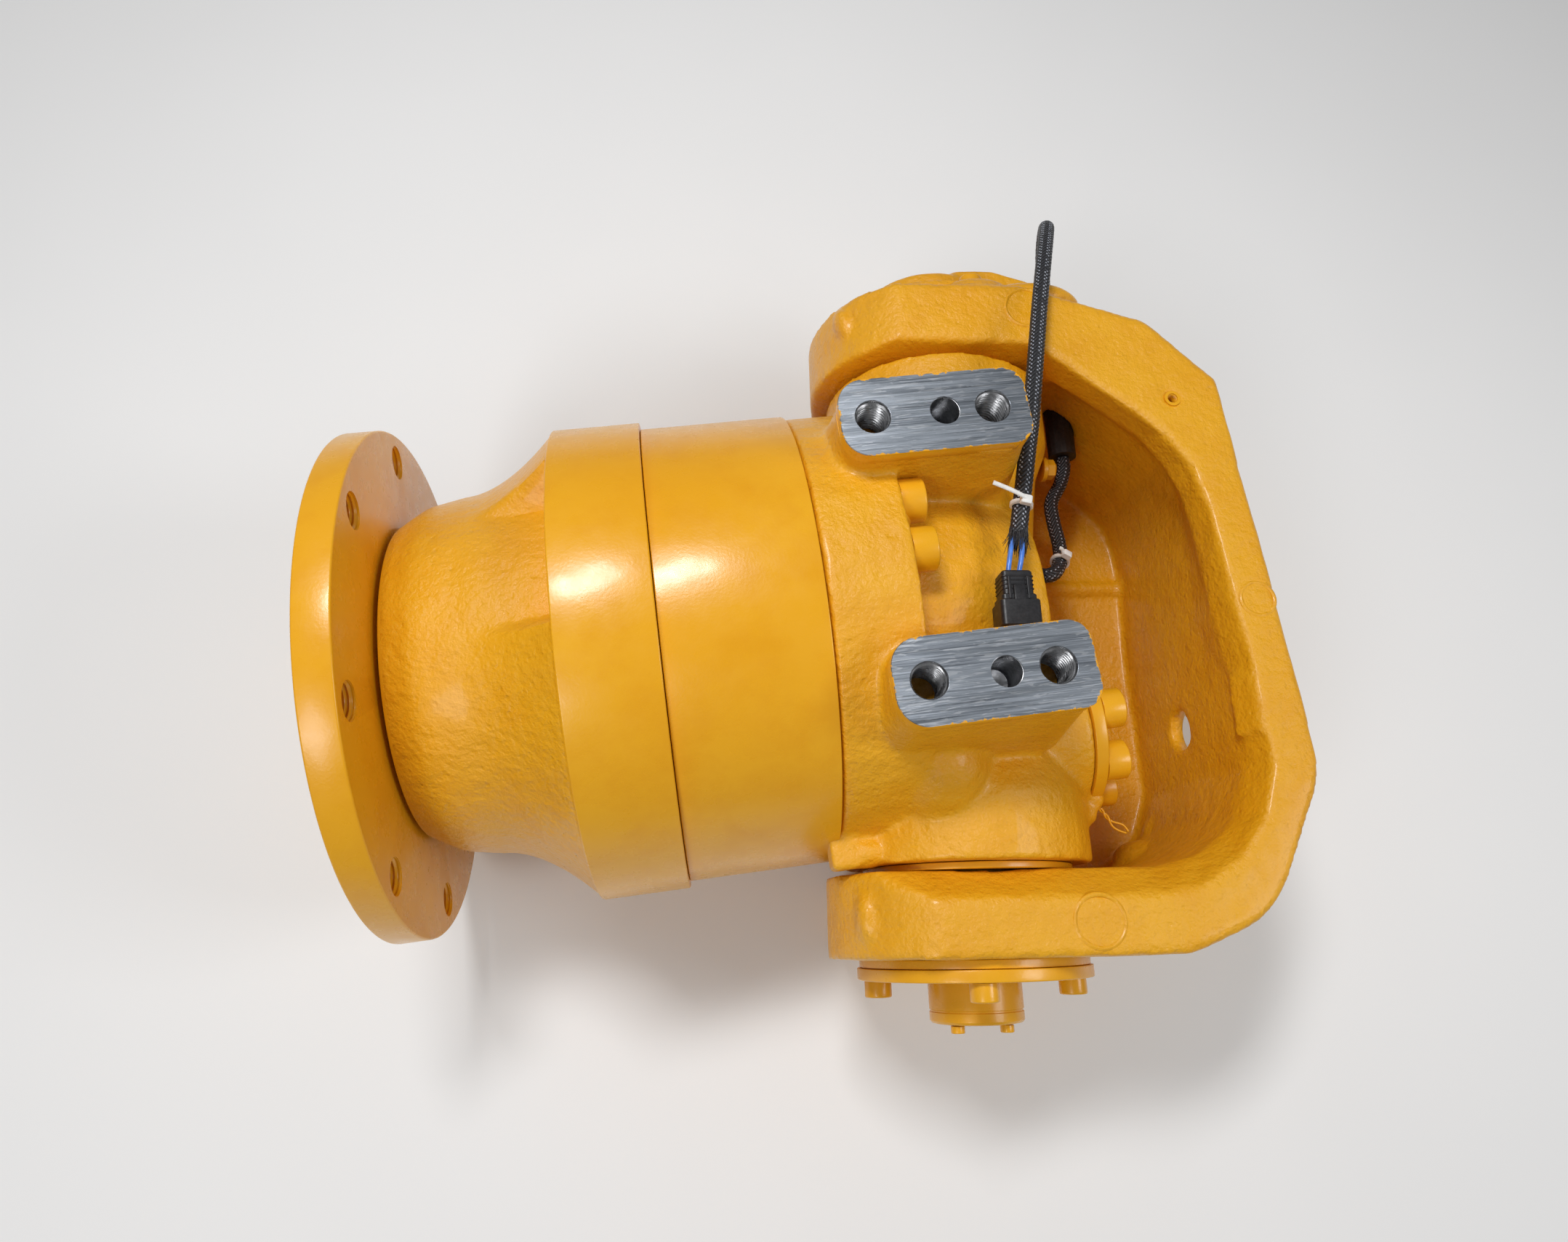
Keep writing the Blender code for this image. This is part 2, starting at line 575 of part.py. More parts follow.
def sensor_and_lead():
    sensor_place = Matrix.Translation((0, 22 * MM, 8 * MM)) @ MOTOR
    turned("speed_sensor", [
        (0, 424), (7, 424), (8, 423), (8, 405), (12, 404), (12, HUB_END + GAP),
        (0, HUB_END + GAP)], PLASTIC, sensor_place, sides=20)
    inner = [(424 + 0.8, 22, 8), (433, 23, 7.6), (441, 32, 2), (446, 46, -4), (448, 66, -9),
             at(84, 92, -12), at(93, 108, -14.5), at(97, 120, -15), at(97, 129 - 0.8, -15)]
    tube("sensor_lead_inner", inner, LEAD_R, BRAID, steps=3)
    outer = [at(97, 193 + 0.8, -15), at(97, 202, -15), at(96, 213, -12.5), at(93, 228, -5),
             at(89, 243, 6), at(84, 256, 21), at(79.5, 265, 38), at(76, 267.5, 54),
             at(71.5, 258.5, 69), at(66, 242, 79), at(60, 221, 87), at(54.5, 199, 92.5),
             at(49.7, 177.7, 96), at(44.6, 153.9, 100), at(39.7, 130.8, 104),
             at(35.2, 109.1, 107), at(31.1, 88.3, 109.5), at(26.6, 68.6, 111),
             at(23, 50.2, 111), at(19.2, 30.9, 110.5), at(16.7, 16.9, 110)]
    tube("sensor_lead_outer", outer, LEAD_R, BRAID, steps=2)
    plug_u, plug_v, plug_z = 10.7, -7.7, 112.0
    for name, shift in (("signal_wire_1", -3.0), ("signal_wire_2", 3.0)):
        start = Vector(at(16.7 + shift * 0.7, 15.7, 110))
        stop = Vector(at(plug_u + shift, plug_v + 1.5, plug_z))
        middle = start.lerp(stop, 0.5) + Vector((shift * 0.5, 0, 1.0))
        tube(name, [start, start.lerp(middle, 0.5), middle, middle.lerp(stop, 0.6), stop],
             WIRE_R, BLUE, steps=2, resolution=1)
    plug_place = KINGPIN_PLACE @ Matrix.Translation((plug_u * MM, plug_v * MM, plug_z * MM))
    plug = box("connector", (-9.5, -16, -8), (9.5, 0, 8), PLASTIC, plug_place)
    shell = box("connector_shell", (-11.5, -32, -10), (11.5, -15, 10), place=plug_place)
    boolean(plug, shell, "UNION")
    tie_at = Vector(at(19.2, 30.9, 110.5))
    along = (Vector(at(16.7, 16.9, 110)) - Vector(at(23, 50.2, 111))).normalized()
    turn = Vector((0, 0, 1)).rotation_difference(along).to_matrix().to_4x4()
    tie_place = Matrix.Translation(tie_at * MM) @ turn
    tie = turned("lead_cable_tie", ring_profile(LEAD_R + 0.5, LEAD_R + 2.0, -1.4, 1.4), NYLON,
                 tie_place, sides=20)
    head = box("tie_head", (-3.5, 5.8, -2.6), (3.5, 10.5, 2.6), place=tie_place)
    boolean(tie, head, "UNION")

    plug_at = KINGPIN_PLACE @ Matrix.Translation((0, 112 * MM, 0)) @ MOTOR
    cylinder("bleed_plug", 7, BARREL_R + GAP, BARREL_R + 9, YELLOW, plug_at, sides=6)


def main():
    wheel_side()
    housing_and_cam()
    knuckle()
    yoke()
    sensor_and_lead()


main()
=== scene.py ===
"""Finished look of the hydraulic wheel motor, its steering knuckle and its yoke."""
import math
import random

import bmesh
import bpy
from mathutils import Matrix, Vector, noise


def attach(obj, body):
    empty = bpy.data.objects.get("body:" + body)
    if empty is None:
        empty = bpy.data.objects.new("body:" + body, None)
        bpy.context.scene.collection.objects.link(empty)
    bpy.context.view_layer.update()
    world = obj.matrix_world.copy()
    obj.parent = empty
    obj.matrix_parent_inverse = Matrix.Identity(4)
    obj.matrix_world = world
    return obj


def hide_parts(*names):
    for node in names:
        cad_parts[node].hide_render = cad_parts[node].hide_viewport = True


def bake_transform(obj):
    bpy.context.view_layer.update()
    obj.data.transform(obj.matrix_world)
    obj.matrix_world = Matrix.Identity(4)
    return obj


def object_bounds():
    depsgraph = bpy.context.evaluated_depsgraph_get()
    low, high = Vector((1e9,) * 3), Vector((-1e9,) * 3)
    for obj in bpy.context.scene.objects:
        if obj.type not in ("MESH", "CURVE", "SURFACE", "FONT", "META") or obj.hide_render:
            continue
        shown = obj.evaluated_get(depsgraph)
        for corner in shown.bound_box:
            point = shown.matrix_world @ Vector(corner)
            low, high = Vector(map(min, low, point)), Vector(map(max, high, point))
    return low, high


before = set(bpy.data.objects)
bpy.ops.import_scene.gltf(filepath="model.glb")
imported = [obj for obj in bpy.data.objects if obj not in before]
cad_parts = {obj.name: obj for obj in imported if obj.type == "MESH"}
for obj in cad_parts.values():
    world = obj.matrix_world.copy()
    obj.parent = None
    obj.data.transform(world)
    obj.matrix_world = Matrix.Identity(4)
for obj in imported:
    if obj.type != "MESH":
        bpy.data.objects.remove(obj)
CAD_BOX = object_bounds()
MM = 0.001
SCENE = bpy.context.scene

# ---- frames, as in part.py ---------------------------------------------------
KINGPIN_X = 357.0
KINGPIN_TILT = -6.6                     # degrees about the world's Z
WHEEL_CIRCLE_R = 137.5                  # the flange's eight holes
M20_PITCH = 2.5
PADS = (("upper", 330.0, 75.0), ("lower", 334.0, -71.0))
PAD_HOLES = (-34.0, 5.5, 32.0)          # along a pad: tapped, plain, tapped
MOTOR = Matrix.Rotation(math.radians(90), 4, "Y")
KINGPIN_PLACE = Matrix.Translation((KINGPIN_X * MM, 0, 0)) @ Matrix.Rotation(
    math.radians(KINGPIN_TILT), 4, "Z")
KINGPIN = KINGPIN_PLACE @ Matrix.Rotation(math.radians(-90), 4, "X")
LOWER_KINGPIN = KINGPIN @ Matrix.Rotation(math.pi, 4, "X")
WORLD = Matrix.Identity(4)


def at(u, v, z):
    """World millimetres of a point given along and across the kingpin axis."""
    return tuple(c / MM for c in KINGPIN_PLACE @ Vector((u * MM, v * MM, z * MM)))


# ---- camera ------------------------------------------------------------------
LENS_MM = 22.55
CAMERA_AT = (0.183059, -0.173498, 0.611115)
CAMERA_FORWARD = (0.10349, 0.29080, -0.95117)
CAMERA_UP = (0.11035, 0.94704, 0.30155)


def camera():
    data = bpy.data.cameras.new("camera")
    data.sensor_fit = "HORIZONTAL"
    data.sensor_width = 36.0
    data.lens = LENS_MM
    data.clip_start = 0.01
    obj = bpy.data.objects.new("camera", data)
    SCENE.collection.objects.link(obj)
    forward = Vector(CAMERA_FORWARD).normalized()
    up = Vector(CAMERA_UP)
    right = forward.cross(up).normalized()
    up = right.cross(forward)
    obj.matrix_world = Matrix((
        (right.x, up.x, -forward.x, CAMERA_AT[0]),
        (right.y, up.y, -forward.y, CAMERA_AT[1]),
        (right.z, up.z, -forward.z, CAMERA_AT[2]),
        (0, 0, 0, 1)))
    SCENE.camera = obj


camera()
SCENE.view_settings.view_transform = "Standard"


# ---- materials ---------------------------------------------------------------
class Nodes:
    """A small helper for building a node material."""

    def __init__(self, name, roughness=0.5, metallic=0.0, coat=0.0, coat_roughness=0.1):
        self.material = bpy.data.materials.new(name)
        self.material.use_nodes = True
        self.tree = self.material.node_tree
        self.shader = self.tree.nodes["Principled BSDF"]
        self.shader.inputs["Roughness"].default_value = roughness
        self.shader.inputs["Metallic"].default_value = metallic
        self.shader.inputs["Coat Weight"].default_value = coat
        self.shader.inputs["Coat Roughness"].default_value = coat_roughness
        coords = self.tree.nodes.new("ShaderNodeTexCoord")
        self.place = coords.outputs["Object"]
        self.uv = coords.outputs["UV"]

    def link(self, source, target):
        self.tree.links.new(source, target)

    def put(self, socket, value):
        if isinstance(value, (int, float)):
            socket.default_value = value
        elif isinstance(value, tuple):
            is_colour = len(value) == 3 and socket.type != "VECTOR"
            socket.default_value = (*value, 1) if is_colour else value
        else:
            self.link(value, socket)

    def maths(self, kind, a, b=0.0, c=0.0):
        node = self.tree.nodes.new("ShaderNodeMath")
        node.operation = kind
        for socket, value in zip(node.inputs, (a, b, c)):
            self.put(socket, value)
        return node.outputs[0]

    def vector(self, kind, a, b=(0, 0, 0)):
        node = self.tree.nodes.new("ShaderNodeVectorMath")
        node.operation = kind
        self.put(node.inputs[0], a)
        self.put(node.inputs[1], b)
        return node.outputs["Value" if kind in ("LENGTH", "DOT_PRODUCT") else "Vector"]

    def noise(self, scale, detail=3.0, rough=0.5, stretch=None, distort=0.0):
        node = self.tree.nodes.new("ShaderNodeTexNoise")
        node.inputs["Scale"].default_value = scale
        node.inputs["Detail"].default_value = detail
        node.inputs["Roughness"].default_value = rough
        node.inputs["Distortion"].default_value = distort
        place = self.place if stretch is None else self.vector("MULTIPLY", self.place, stretch)
        self.link(place, node.inputs["Vector"])
        return node.outputs["Fac"]

    def cells(self, scale, feature="F1"):
        node = self.tree.nodes.new("ShaderNodeTexVoronoi")
        node.feature = feature
        node.inputs["Scale"].default_value = scale
        self.link(self.place, node.inputs["Vector"])
        return node.outputs["Distance"]

    def span(self, value, low, high, to_low=0.0, to_high=1.0):
        node = self.tree.nodes.new("ShaderNodeMapRange")
        self.put(node.inputs["Value"], value)
        for name, number in (("From Min", low), ("From Max", high),
                             ("To Min", to_low), ("To Max", to_high)):
            node.inputs[name].default_value = number
        return node.outputs[0]

    def blend(self, factor, a, b):
        node = self.tree.nodes.new("ShaderNodeMix")
        node.data_type = "RGBA"
        self.put(node.inputs[0], factor)
        self.put(node.inputs[6], a)
        self.put(node.inputs[7], b)
        return node.outputs[2]

    def bump(self, height, distance, under=None, strength=1.0):
        node = self.tree.nodes.new("ShaderNodeBump")
        node.inputs["Strength"].default_value = strength
        node.inputs["Distance"].default_value = distance
        self.link(height, node.inputs["Height"])
        if under is not None:
            self.link(under, node.inputs["Normal"])
        return node.outputs["Normal"]

    def finish(self, colour, roughness=None, normal=None, metallic=None):
        self.put(self.shader.inputs["Base Color"], colour)
        if roughness is not None:
            self.put(self.shader.inputs["Roughness"], roughness)
        if metallic is not None:
            self.put(self.shader.inputs["Metallic"], metallic)
        if normal is not None:
            self.link(normal, self.shader.inputs["Normal"])
        return self.material


YELLOW = (0.80, 0.370, 0.006)
YELLOW_DEEP = (0.74, 0.315, 0.004)
YELLOW_PALE = (0.83, 0.410, 0.012)


def paint(name, cast):
    """Thick yellow enamel: on a casting it follows the sand texture and runs a little."""
    m = Nodes(name, coat=0.18, coat_roughness=0.14)
    m.shader.inputs["Specular IOR Level"].default_value = 0.45
    broad = m.noise(7.0, 3.0)
    colour = m.blend(m.span(broad, 0.35, 0.65), YELLOW, YELLOW_PALE)
    colour = m.blend(m.span(m.noise(38.0, 4.0, 0.6), 0.45, 0.75, 0.0, 0.55), colour, YELLOW_DEEP)
    peel = m.bump(m.noise(620.0, 2.0), 0.00006)
    if not cast:
        specks = m.span(m.cells(240.0), 0.0, 0.10, 0.55, 0.0)
        dust = m.maths("MULTIPLY", specks, m.span(m.noise(16.0), 0.5, 0.7))
        normal = m.bump(m.noise(60.0, 2.0), 0.00025, peel, 0.5)
        normal = m.bump(dust, 0.0001, normal)
        return m.finish(colour, m.span(m.noise(90.0, 4.0), 0.3, 0.7, 0.24, 0.34), normal)
    grain = m.noise(260.0, 5.0, 0.62)
    lumps = m.noise(85.0, 3.0, 0.55)
    pits = m.span(m.cells(170.0), 0.0, 0.28)
    normal = m.bump(lumps, 0.0022, peel, 0.8)
    normal = m.bump(grain, 0.0011, normal, 1.0)
    normal = m.bump(pits, 0.0005, normal, 0.6)
    pale = m.span(grain, 0.62, 0.78, 0.0, 0.35)
    colour = m.blend(pale, colour, (0.86, 0.45, 0.025))
    return m.finish(colour, m.span(grain, 0.3, 0.7, 0.26, 0.42), normal)


def milled(name, centre=None, half=(0.052, 0.023), corner=0.013):
    """Face-milled steel: long feed marks, crossing scratches, thin paint left at its edge."""
    m = Nodes(name, metallic=1.0)
    feed = m.noise(1.0, 5.0, 0.65, (16.0, 1100.0, 60.0))
    broad = m.noise(1.0, 3.0, 0.6, (9.0, 150.0, 20.0))
    scratch = m.span(m.noise(1.0, 2.0, 0.5, (70.0, 620.0, 70.0), 1.2), 0.56, 0.62)
    colour = m.blend(m.span(feed, 0.3, 0.7), (0.17, 0.195, 0.225), (0.40, 0.44, 0.50))
    colour = m.blend(m.span(broad, 0.4, 0.68, 0.0, 0.6), colour, (0.62, 0.68, 0.76))
    colour = m.blend(m.maths("MULTIPLY", scratch, 0.35), colour, (0.85, 0.88, 0.92))
    rough = m.span(feed, 0.25, 0.75, 0.24, 0.46)
    normal = m.bump(feed, 0.00010)
    normal = m.bump(broad, 0.00018, normal, 0.6)
    if centre is None:
        return m.finish(colour, rough, normal)
    flat = m.vector("ABSOLUTE", m.vector("MULTIPLY", m.vector(
        "SUBTRACT", m.place, (centre[0], centre[1], 0)), (1, 1, 0)))
    out = m.vector("MAXIMUM", m.vector(
        "SUBTRACT", flat, (half[0] - corner, half[1] - corner, 0)), (0, 0, 0))
    edge = m.maths("SUBTRACT", m.vector("LENGTH", out), corner)
    ragged = m.maths("ADD", edge, m.span(m.noise(230.0, 4.0, 0.7), 0.35, 0.75, -0.0006, 0.0026))
    left = m.span(ragged, 0.0002, 0.0005)
    colour = m.blend(left, colour, YELLOW)
    return m.finish(colour, rough, normal, m.maths("SUBTRACT", 1.0, left))


def turned_steel(name, low):
    """Lathe-turned steel. low is the darker of its two greys."""
    m = Nodes(name, metallic=1.0)
    grain = m.noise(300.0, 4.0, 0.6)
    colour = m.blend(m.span(grain, 0.3, 0.7), (low, low * 1.02, low * 1.06),
                     (low * 1.9, low * 1.92, low * 1.98))
    return m.finish(colour, m.span(m.noise(120.0), 0.3, 0.7, 0.22, 0.42), m.bump(grain, 0.00008))


def braid(name):
    """Black braided sleeve: two sets of strands that cross over and under, coloured darker in the
    dips as painted shade and with pale flecks on the crossings as painted highlights.
    """
    m = Nodes(name)
    split = m.tree.nodes.new("ShaderNodeSeparateXYZ")
    m.link(m.uv, split.inputs[0])
    around, along = split.outputs[0], split.outputs[1]
    first = m.maths("ADD", m.maths("MULTIPLY", around, 12.0), m.maths("MULTIPLY", along, 330.0))
    second = m.maths("SUBTRACT", m.maths("MULTIPLY", around, 12.0),
                     m.maths("MULTIPLY", along, 330.0))
    a = m.maths("ABSOLUTE", m.maths("SINE", m.maths("MULTIPLY", first, math.pi)))
    b = m.maths("ABSOLUTE", m.maths("SINE", m.maths("MULTIPLY", second, math.pi)))
    over = m.maths("GREATER_THAN", m.maths("SINE", m.maths("MULTIPLY", m.maths(
        "ADD", m.maths("FLOOR", first), m.maths("FLOOR", second)), math.pi / 2 + 0.001)), 0.0)
    height = m.maths("ADD", m.maths("MULTIPLY", a, over),
                     m.maths("MULTIPLY", b, m.maths("SUBTRACT", 1.0, over)))
    thread = m.noise(2600.0, 2.0)
    height = m.maths("ADD", height, m.maths("MULTIPLY", thread, 0.25))
    # painted shade: the dips between the strands are coloured darker than their crowns
    colour = m.blend(m.span(height, 0.55, 1.15), (0.006, 0.006, 0.008), (0.035, 0.036, 0.042))
    # painted highlights: pale flecks are coloured onto some of the points where the strands cross
    cross = m.maths("MULTIPLY", m.maths("MULTIPLY", a, b), over)
    painted_glint = m.maths("MULTIPLY", m.span(cross, 0.58, 0.74), m.span(m.noise(300.0, 2.0), 0.36, 0.44))
    colour = m.blend(m.maths("MULTIPLY", painted_glint, 0.85), colour, (0.42, 0.45, 0.52))
    return m.finish(colour, m.span(height, 0.3, 1.1, 0.7, 0.38), m.bump(height, 0.00035))


def plain(name, low, high, roughness, scale=400.0, depth=0.00004, coat=0.0):
    """Moulded or drawn material: fine grain in its colour, gloss and surface."""
    m = Nodes(name, coat=coat)
    grain = m.noise(scale, 3.0, 0.55)
    colour = m.blend(m.span(grain, 0.3, 0.7), low, high)
    rough = m.span(m.noise(scale * 0.3, 3.0), 0.3, 0.7, roughness * 0.85, roughness * 1.15)
    return m.finish(colour, rough, m.bump(grain, depth))


SMOOTH_PAINT = paint("yellow_enamel", False)
CAST_PAINT = paint("yellow_enamel_on_casting", True)
STEEL = turned_steel("turned_steel", 0.34)
THREAD_STEEL = turned_steel("tapped_steel", 0.26)
BRAID = braid("braided_sleeve")
STRAND = plain("sleeve_strand", (0.008, 0.008, 0.01), (0.03, 0.03, 0.035), 0.45, 900.0)
PLASTIC = plain("moulded_plastic", (0.008, 0.008, 0.01), (0.020, 0.020, 0.023), 0.42, 700.0)
RUBBER = plain("seal_rubber", (0.012, 0.012, 0.012), (0.03, 0.028, 0.026), 0.65, 500.0)
BLUE = plain("blue_insulation", (0.05, 0.17, 0.62), (0.10, 0.28, 0.85), 0.32, 300.0, coat=0.2)
NYLON = plain("natural_nylon", (0.72, 0.72, 0.70), (0.86, 0.86, 0.84), 0.36, 260.0)
NYLON.node_tree.nodes["Principled BSDF"].inputs["Subsurface Weight"].default_value = 0.25
NYLON.node_tree.nodes["Principled BSDF"].inputs["Subsurface Radius"].default_value = (
    0.002, 0.002, 0.002)
IRON = plain("machined_iron", (0.16, 0.16, 0.165), (0.30, 0.30, 0.31), 0.5, 500.0)


# ---- geometry ----------------------------------------------------------------
def new_object(name, mesh, material, body, nodes=(), angle=32.0):
    """A piece in the row frame, riding on a body and standing for CAD nodes."""
    mesh.materials.clear()
    mesh.materials.append(material)
    mesh.shade_smooth()
    mesh.set_sharp_from_angle(angle=math.radians(angle))
    obj = bpy.data.objects.new(name, mesh)
    SCENE.collection.objects.link(obj)
    if body:
        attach(obj, body)
    if nodes:
        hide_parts(*nodes)
    return obj


def to_mesh(name, bm, place=WORLD):
    """The bmesh as a closed mesh, placed."""
    bmesh.ops.remove_doubles(bm, verts=bm.verts, dist=0.000002)
    bmesh.ops.recalc_face_normals(bm, faces=bm.faces)
    mesh = bpy.data.meshes.new(name)
    bm.to_mesh(mesh)
    bm.free()
    mesh.transform(place)
    return mesh


def fillet(corners, steps=5):
    """Round a polygon's corners: each corner is (x, y) or (x, y, radius)."""
    out = []
    count = len(corners)
    for i, corner in enumerate(corners):
        here = Vector(corner[:2])
        radius = corner[2] if len(corner) > 2 else 0.0
        if radius <= 0:
            out.append(here)
            continue
        back = (Vector(corners[i - 1][:2]) - here).normalized()
        ahead = (Vector(corners[(i + 1) % count][:2]) - here).normalized()
        half = back.angle(ahead) / 2
        reach = radius / math.tan(half)
        centre = here + (back + ahead).normalized() * radius / math.sin(half)
        start = here + back * reach - centre
        end = here + ahead * reach - centre
        turn = start.angle_signed(end)
        for k in range(steps + 1):
            out.append(centre + Matrix.Rotation(-turn * k / steps, 2) @ start)
    return [(p.x, p.y) for p in out]


def lathe(name, corners, place=MOTOR, sides=160, shape=None, steps=4):
    """Spin a closed profile of (radius, height[, fillet]) about local Z. shape(r, h, angle)
    may change the radius."""
    profile = fillet(corners, steps)
    bm = bmesh.new()
    rings = []
    for r, h in profile:
        if r < 1e-6:
            rings.append([bm.verts.new((0, 0, h * MM))])
            continue
        ring = []
        for k in range(sides):
            angle = 2 * math.pi * k / sides
            radius = shape(r, h, angle) if shape else r
            ring.append(bm.verts.new((radius * math.cos(angle) * MM,
                                      radius * math.sin(angle) * MM, h * MM)))
        rings.append(ring)
    for i, ring in enumerate(rings):
        other = rings[(i + 1) % len(rings)]
        if len(ring) == 1 and len(other) == 1:
            continue
        for k in range(sides):
            j = (k + 1) % sides
            if len(ring) == 1:
                bm.faces.new((ring[0], other[k], other[j]))
            elif len(other) == 1:
                bm.faces.new((ring[k], ring[j], other[0]))
            else:
                bm.faces.new((ring[k], ring[j], other[j], other[k]))
    return to_mesh(name, bm, place)


def slab(name, outline, low, high, edge=0.4, place=WORLD):
    """An extruded outline whose top and bottom edges are chamfered by edge, if it isn't 0."""
    bm = bmesh.new()
    middle = Vector((sum(p[0] for p in outline), sum(p[1] for p in outline))) / len(outline)
    rings = []
    chamfered = ((low, edge), (low + edge, 0), (high - edge, 0), (high, edge))
    for z, inset in chamfered if edge else ((low, 0), (high, 0)):
        ring = []
        for p in outline:
            q = Vector(p)
            q -= (q - middle).normalized() * inset
            ring.append(bm.verts.new((q.x * MM, q.y * MM, z * MM)))
        rings.append(ring)
    for a, b in zip(rings, rings[1:]):
        for i in range(len(a)):
            j = (i + 1) % len(a)
            bm.faces.new((a[i], a[j], b[j], b[i]))
    bm.faces.new(rings[0])
    bm.faces.new(rings[-1])
    return to_mesh(name, bm, place)


def drill(mesh, holes, sides=48):
    """Cut straight round holes, each (place, radius, low, high), in a mesh."""
    bm = bmesh.new()
    for place, radius, low, high in holes:
        bmesh.ops.create_cone(
            bm, cap_ends=True, segments=sides, radius1=radius * MM, radius2=radius * MM,
            depth=(high - low) * MM,
            matrix=place @ Matrix.Translation((0, 0, (low + high) / 2 * MM)))
    tool_mesh = bpy.data.meshes.new("tool")
    bm.to_mesh(tool_mesh)
    bm.free()
    return carve(mesh, tool_mesh)


def carve(mesh, tool_mesh):
    """The mesh with the tool's shape cut out of it."""
    work = bpy.data.objects.new("work", mesh)
    tool = bpy.data.objects.new("tool", tool_mesh)
    SCENE.collection.objects.link(work)
    SCENE.collection.objects.link(tool)
    cut = work.modifiers.new("cut", "BOOLEAN")
    cut.operation = "DIFFERENCE"
    cut.solver = "EXACT"
    cut.object = tool
    result = bake(work)
    bpy.data.objects.remove(work, do_unlink=True)
    bpy.data.objects.remove(tool, do_unlink=True)
    return result


def bake(obj):
    """The object's mesh with its modifiers applied."""
    bpy.context.view_layer.update()
    graph = bpy.context.evaluated_depsgraph_get()
    return bpy.data.meshes.new_from_object(obj.evaluated_get(graph))


def thread(name, place, major, minor, pitch, low, high, outer, around=56, per=8):
    """A tapped bore as a closed sleeve: its inner wall carries the thread."""
    count = int((high - low) / pitch * per)
    rows = [low + (high - low) * i / count for i in range(count + 1)]
    bm = bmesh.new()
    rings = [[bm.verts.new((outer * math.cos(2 * math.pi * k / around) * MM,
                            outer * math.sin(2 * math.pi * k / around) * MM, z * MM))
              for k in range(around)] for z in (high, low)]
    for z in rows:
        ring = []
        lead_in = min(1.0, max(0.0, (high - z) / pitch)) * min(1.0, max(0.0, (z - low) / pitch))
        for k in range(around):
            phase = (z / pitch - k / around) % 1.0
            crest = 1.0 - abs(2 * phase - 1)
            crest = min(1.0, max(0.0, crest * 1.35 - 0.15)) * lead_in
            radius = major - (major - minor) * crest
            angle = 2 * math.pi * k / around
            ring.append(bm.verts.new((radius * math.cos(angle) * MM,
                                      radius * math.sin(angle) * MM, z * MM)))
        rings.append(ring)
    for i, a in enumerate(rings):
        b = rings[(i + 1) % len(rings)]
        for k in range(around):
            j = (k + 1) % around
            bm.faces.new((a[k], a[j], b[j], b[k]))
    return to_mesh(name, bm, place)


def spline(points, step=1.0):
    """Points of a smooth curve through a route, at even steps in mm."""
    route = [Vector(p) for p in points]
    fine = []
    for i in range(len(route) - 1):
        before, after = route[max(i - 1, 0)], route[min(i + 2, len(route) - 1)]
        start, end = route[i], route[i + 1]
        for k in range(24):
            t = k / 24
            fine.append(0.5 * ((2 * start) + (end - before) * t
                               + (2 * before - 5 * start + 4 * end - after) * t * t
                               + (3 * start - before - 3 * end + after) * t ** 3))
    fine.append(route[-1])
    length = sum((b - a).length for a, b in zip(fine, fine[1:]))
    count = max(2, round(length / step))
    out, gone, target = [fine[0]], 0.0, length / count
    for a, b in zip(fine, fine[1:]):
        piece = (b - a).length
        while piece > 0 and gone + piece >= target - 1e-9 and len(out) < count:
            out.append(a.lerp(b, (target - gone) / piece))
            target += length / count
        gone += piece
    out.append(fine[-1])
    return out, length


def sweep(name, points, width, sides=16, thick=None, close=True, profile=None, taper=None):
    """A tube along points in mm, with UVs: around, and metres along."""
    bm = bmesh.new()
    layer = bm.loops.layers.uv.new("UVMap")
    side = None
    rings, run, at_run = [], 0.0, []
    for i, p in enumerate(points):
        ahead = (points[min(i + 1, len(points) - 1)] - points[max(i - 1, 0)]).normalized()
        if side is None:
            side = ahead.orthogonal().normalized()
        side = (side - ahead * side.dot(ahead)).normalized()
        other = ahead.cross(side)
        if i:
            run += (p - points[i - 1]).length
        at_run.append(run * MM)
        scale = taper(i / (len(points) - 1)) if taper else 1.0
        ring = []
        for k in range(sides):
            angle = 2 * math.pi * k / sides
            a, b = math.cos(angle) * width, math.sin(angle) * (thick or width)
            if profile:
                lift = profile(k / sides, run)
                a, b = a * (1 + lift), b * (1 + lift)
            ring.append(bm.verts.new((p + (side * a + other * b) * scale) * MM))
        rings.append(ring)
    for i in range(len(rings) - 1):
        for k in range(sides):
            j = (k + 1) % sides
            face = bm.faces.new((rings[i][k], rings[i][j], rings[i + 1][j], rings[i + 1][k]))
            for loop, (u, v) in zip(face.loops, (
                    (k / sides, at_run[i]), ((k + 1) / sides, at_run[i]),
                    ((k + 1) / sides, at_run[i + 1]), (k / sides, at_run[i + 1]))):
                loop[layer].uv = (u, v)
    if close:
        bm.faces.new(rings[0])
        bm.faces.new(rings[-1])
    bmesh.ops.recalc_face_normals(bm, faces=bm.faces)
    mesh = bpy.data.meshes.new(name)
    bm.to_mesh(mesh)
    bm.free()
    return mesh


def join(*meshes):
    """Several meshes as one, without welding them."""
    bm = bmesh.new()
    for mesh in meshes:
        bm.from_mesh(mesh)
    mesh = bpy.data.meshes.new(meshes[0].name)
    bm.to_mesh(mesh)
    bm.free()
    return mesh


def lump(centre, size, place=WORLD, turn=0.0):
    """A soft boss that the casting flows round: an ellipsoid, in mm."""
    bm = bmesh.new()
    bmesh.ops.create_uvsphere(
        bm, u_segments=24, v_segments=14, radius=1.0,
        matrix=place @ Matrix.Translation(Vector(centre) * MM) @ Matrix.Rotation(turn, 4, "Z")
        @ Matrix.Diagonal((*[s * MM for s in size], 1)))
    mesh = bpy.data.meshes.new("lump")
    bm.to_mesh(mesh)
    bm.free()
    return mesh


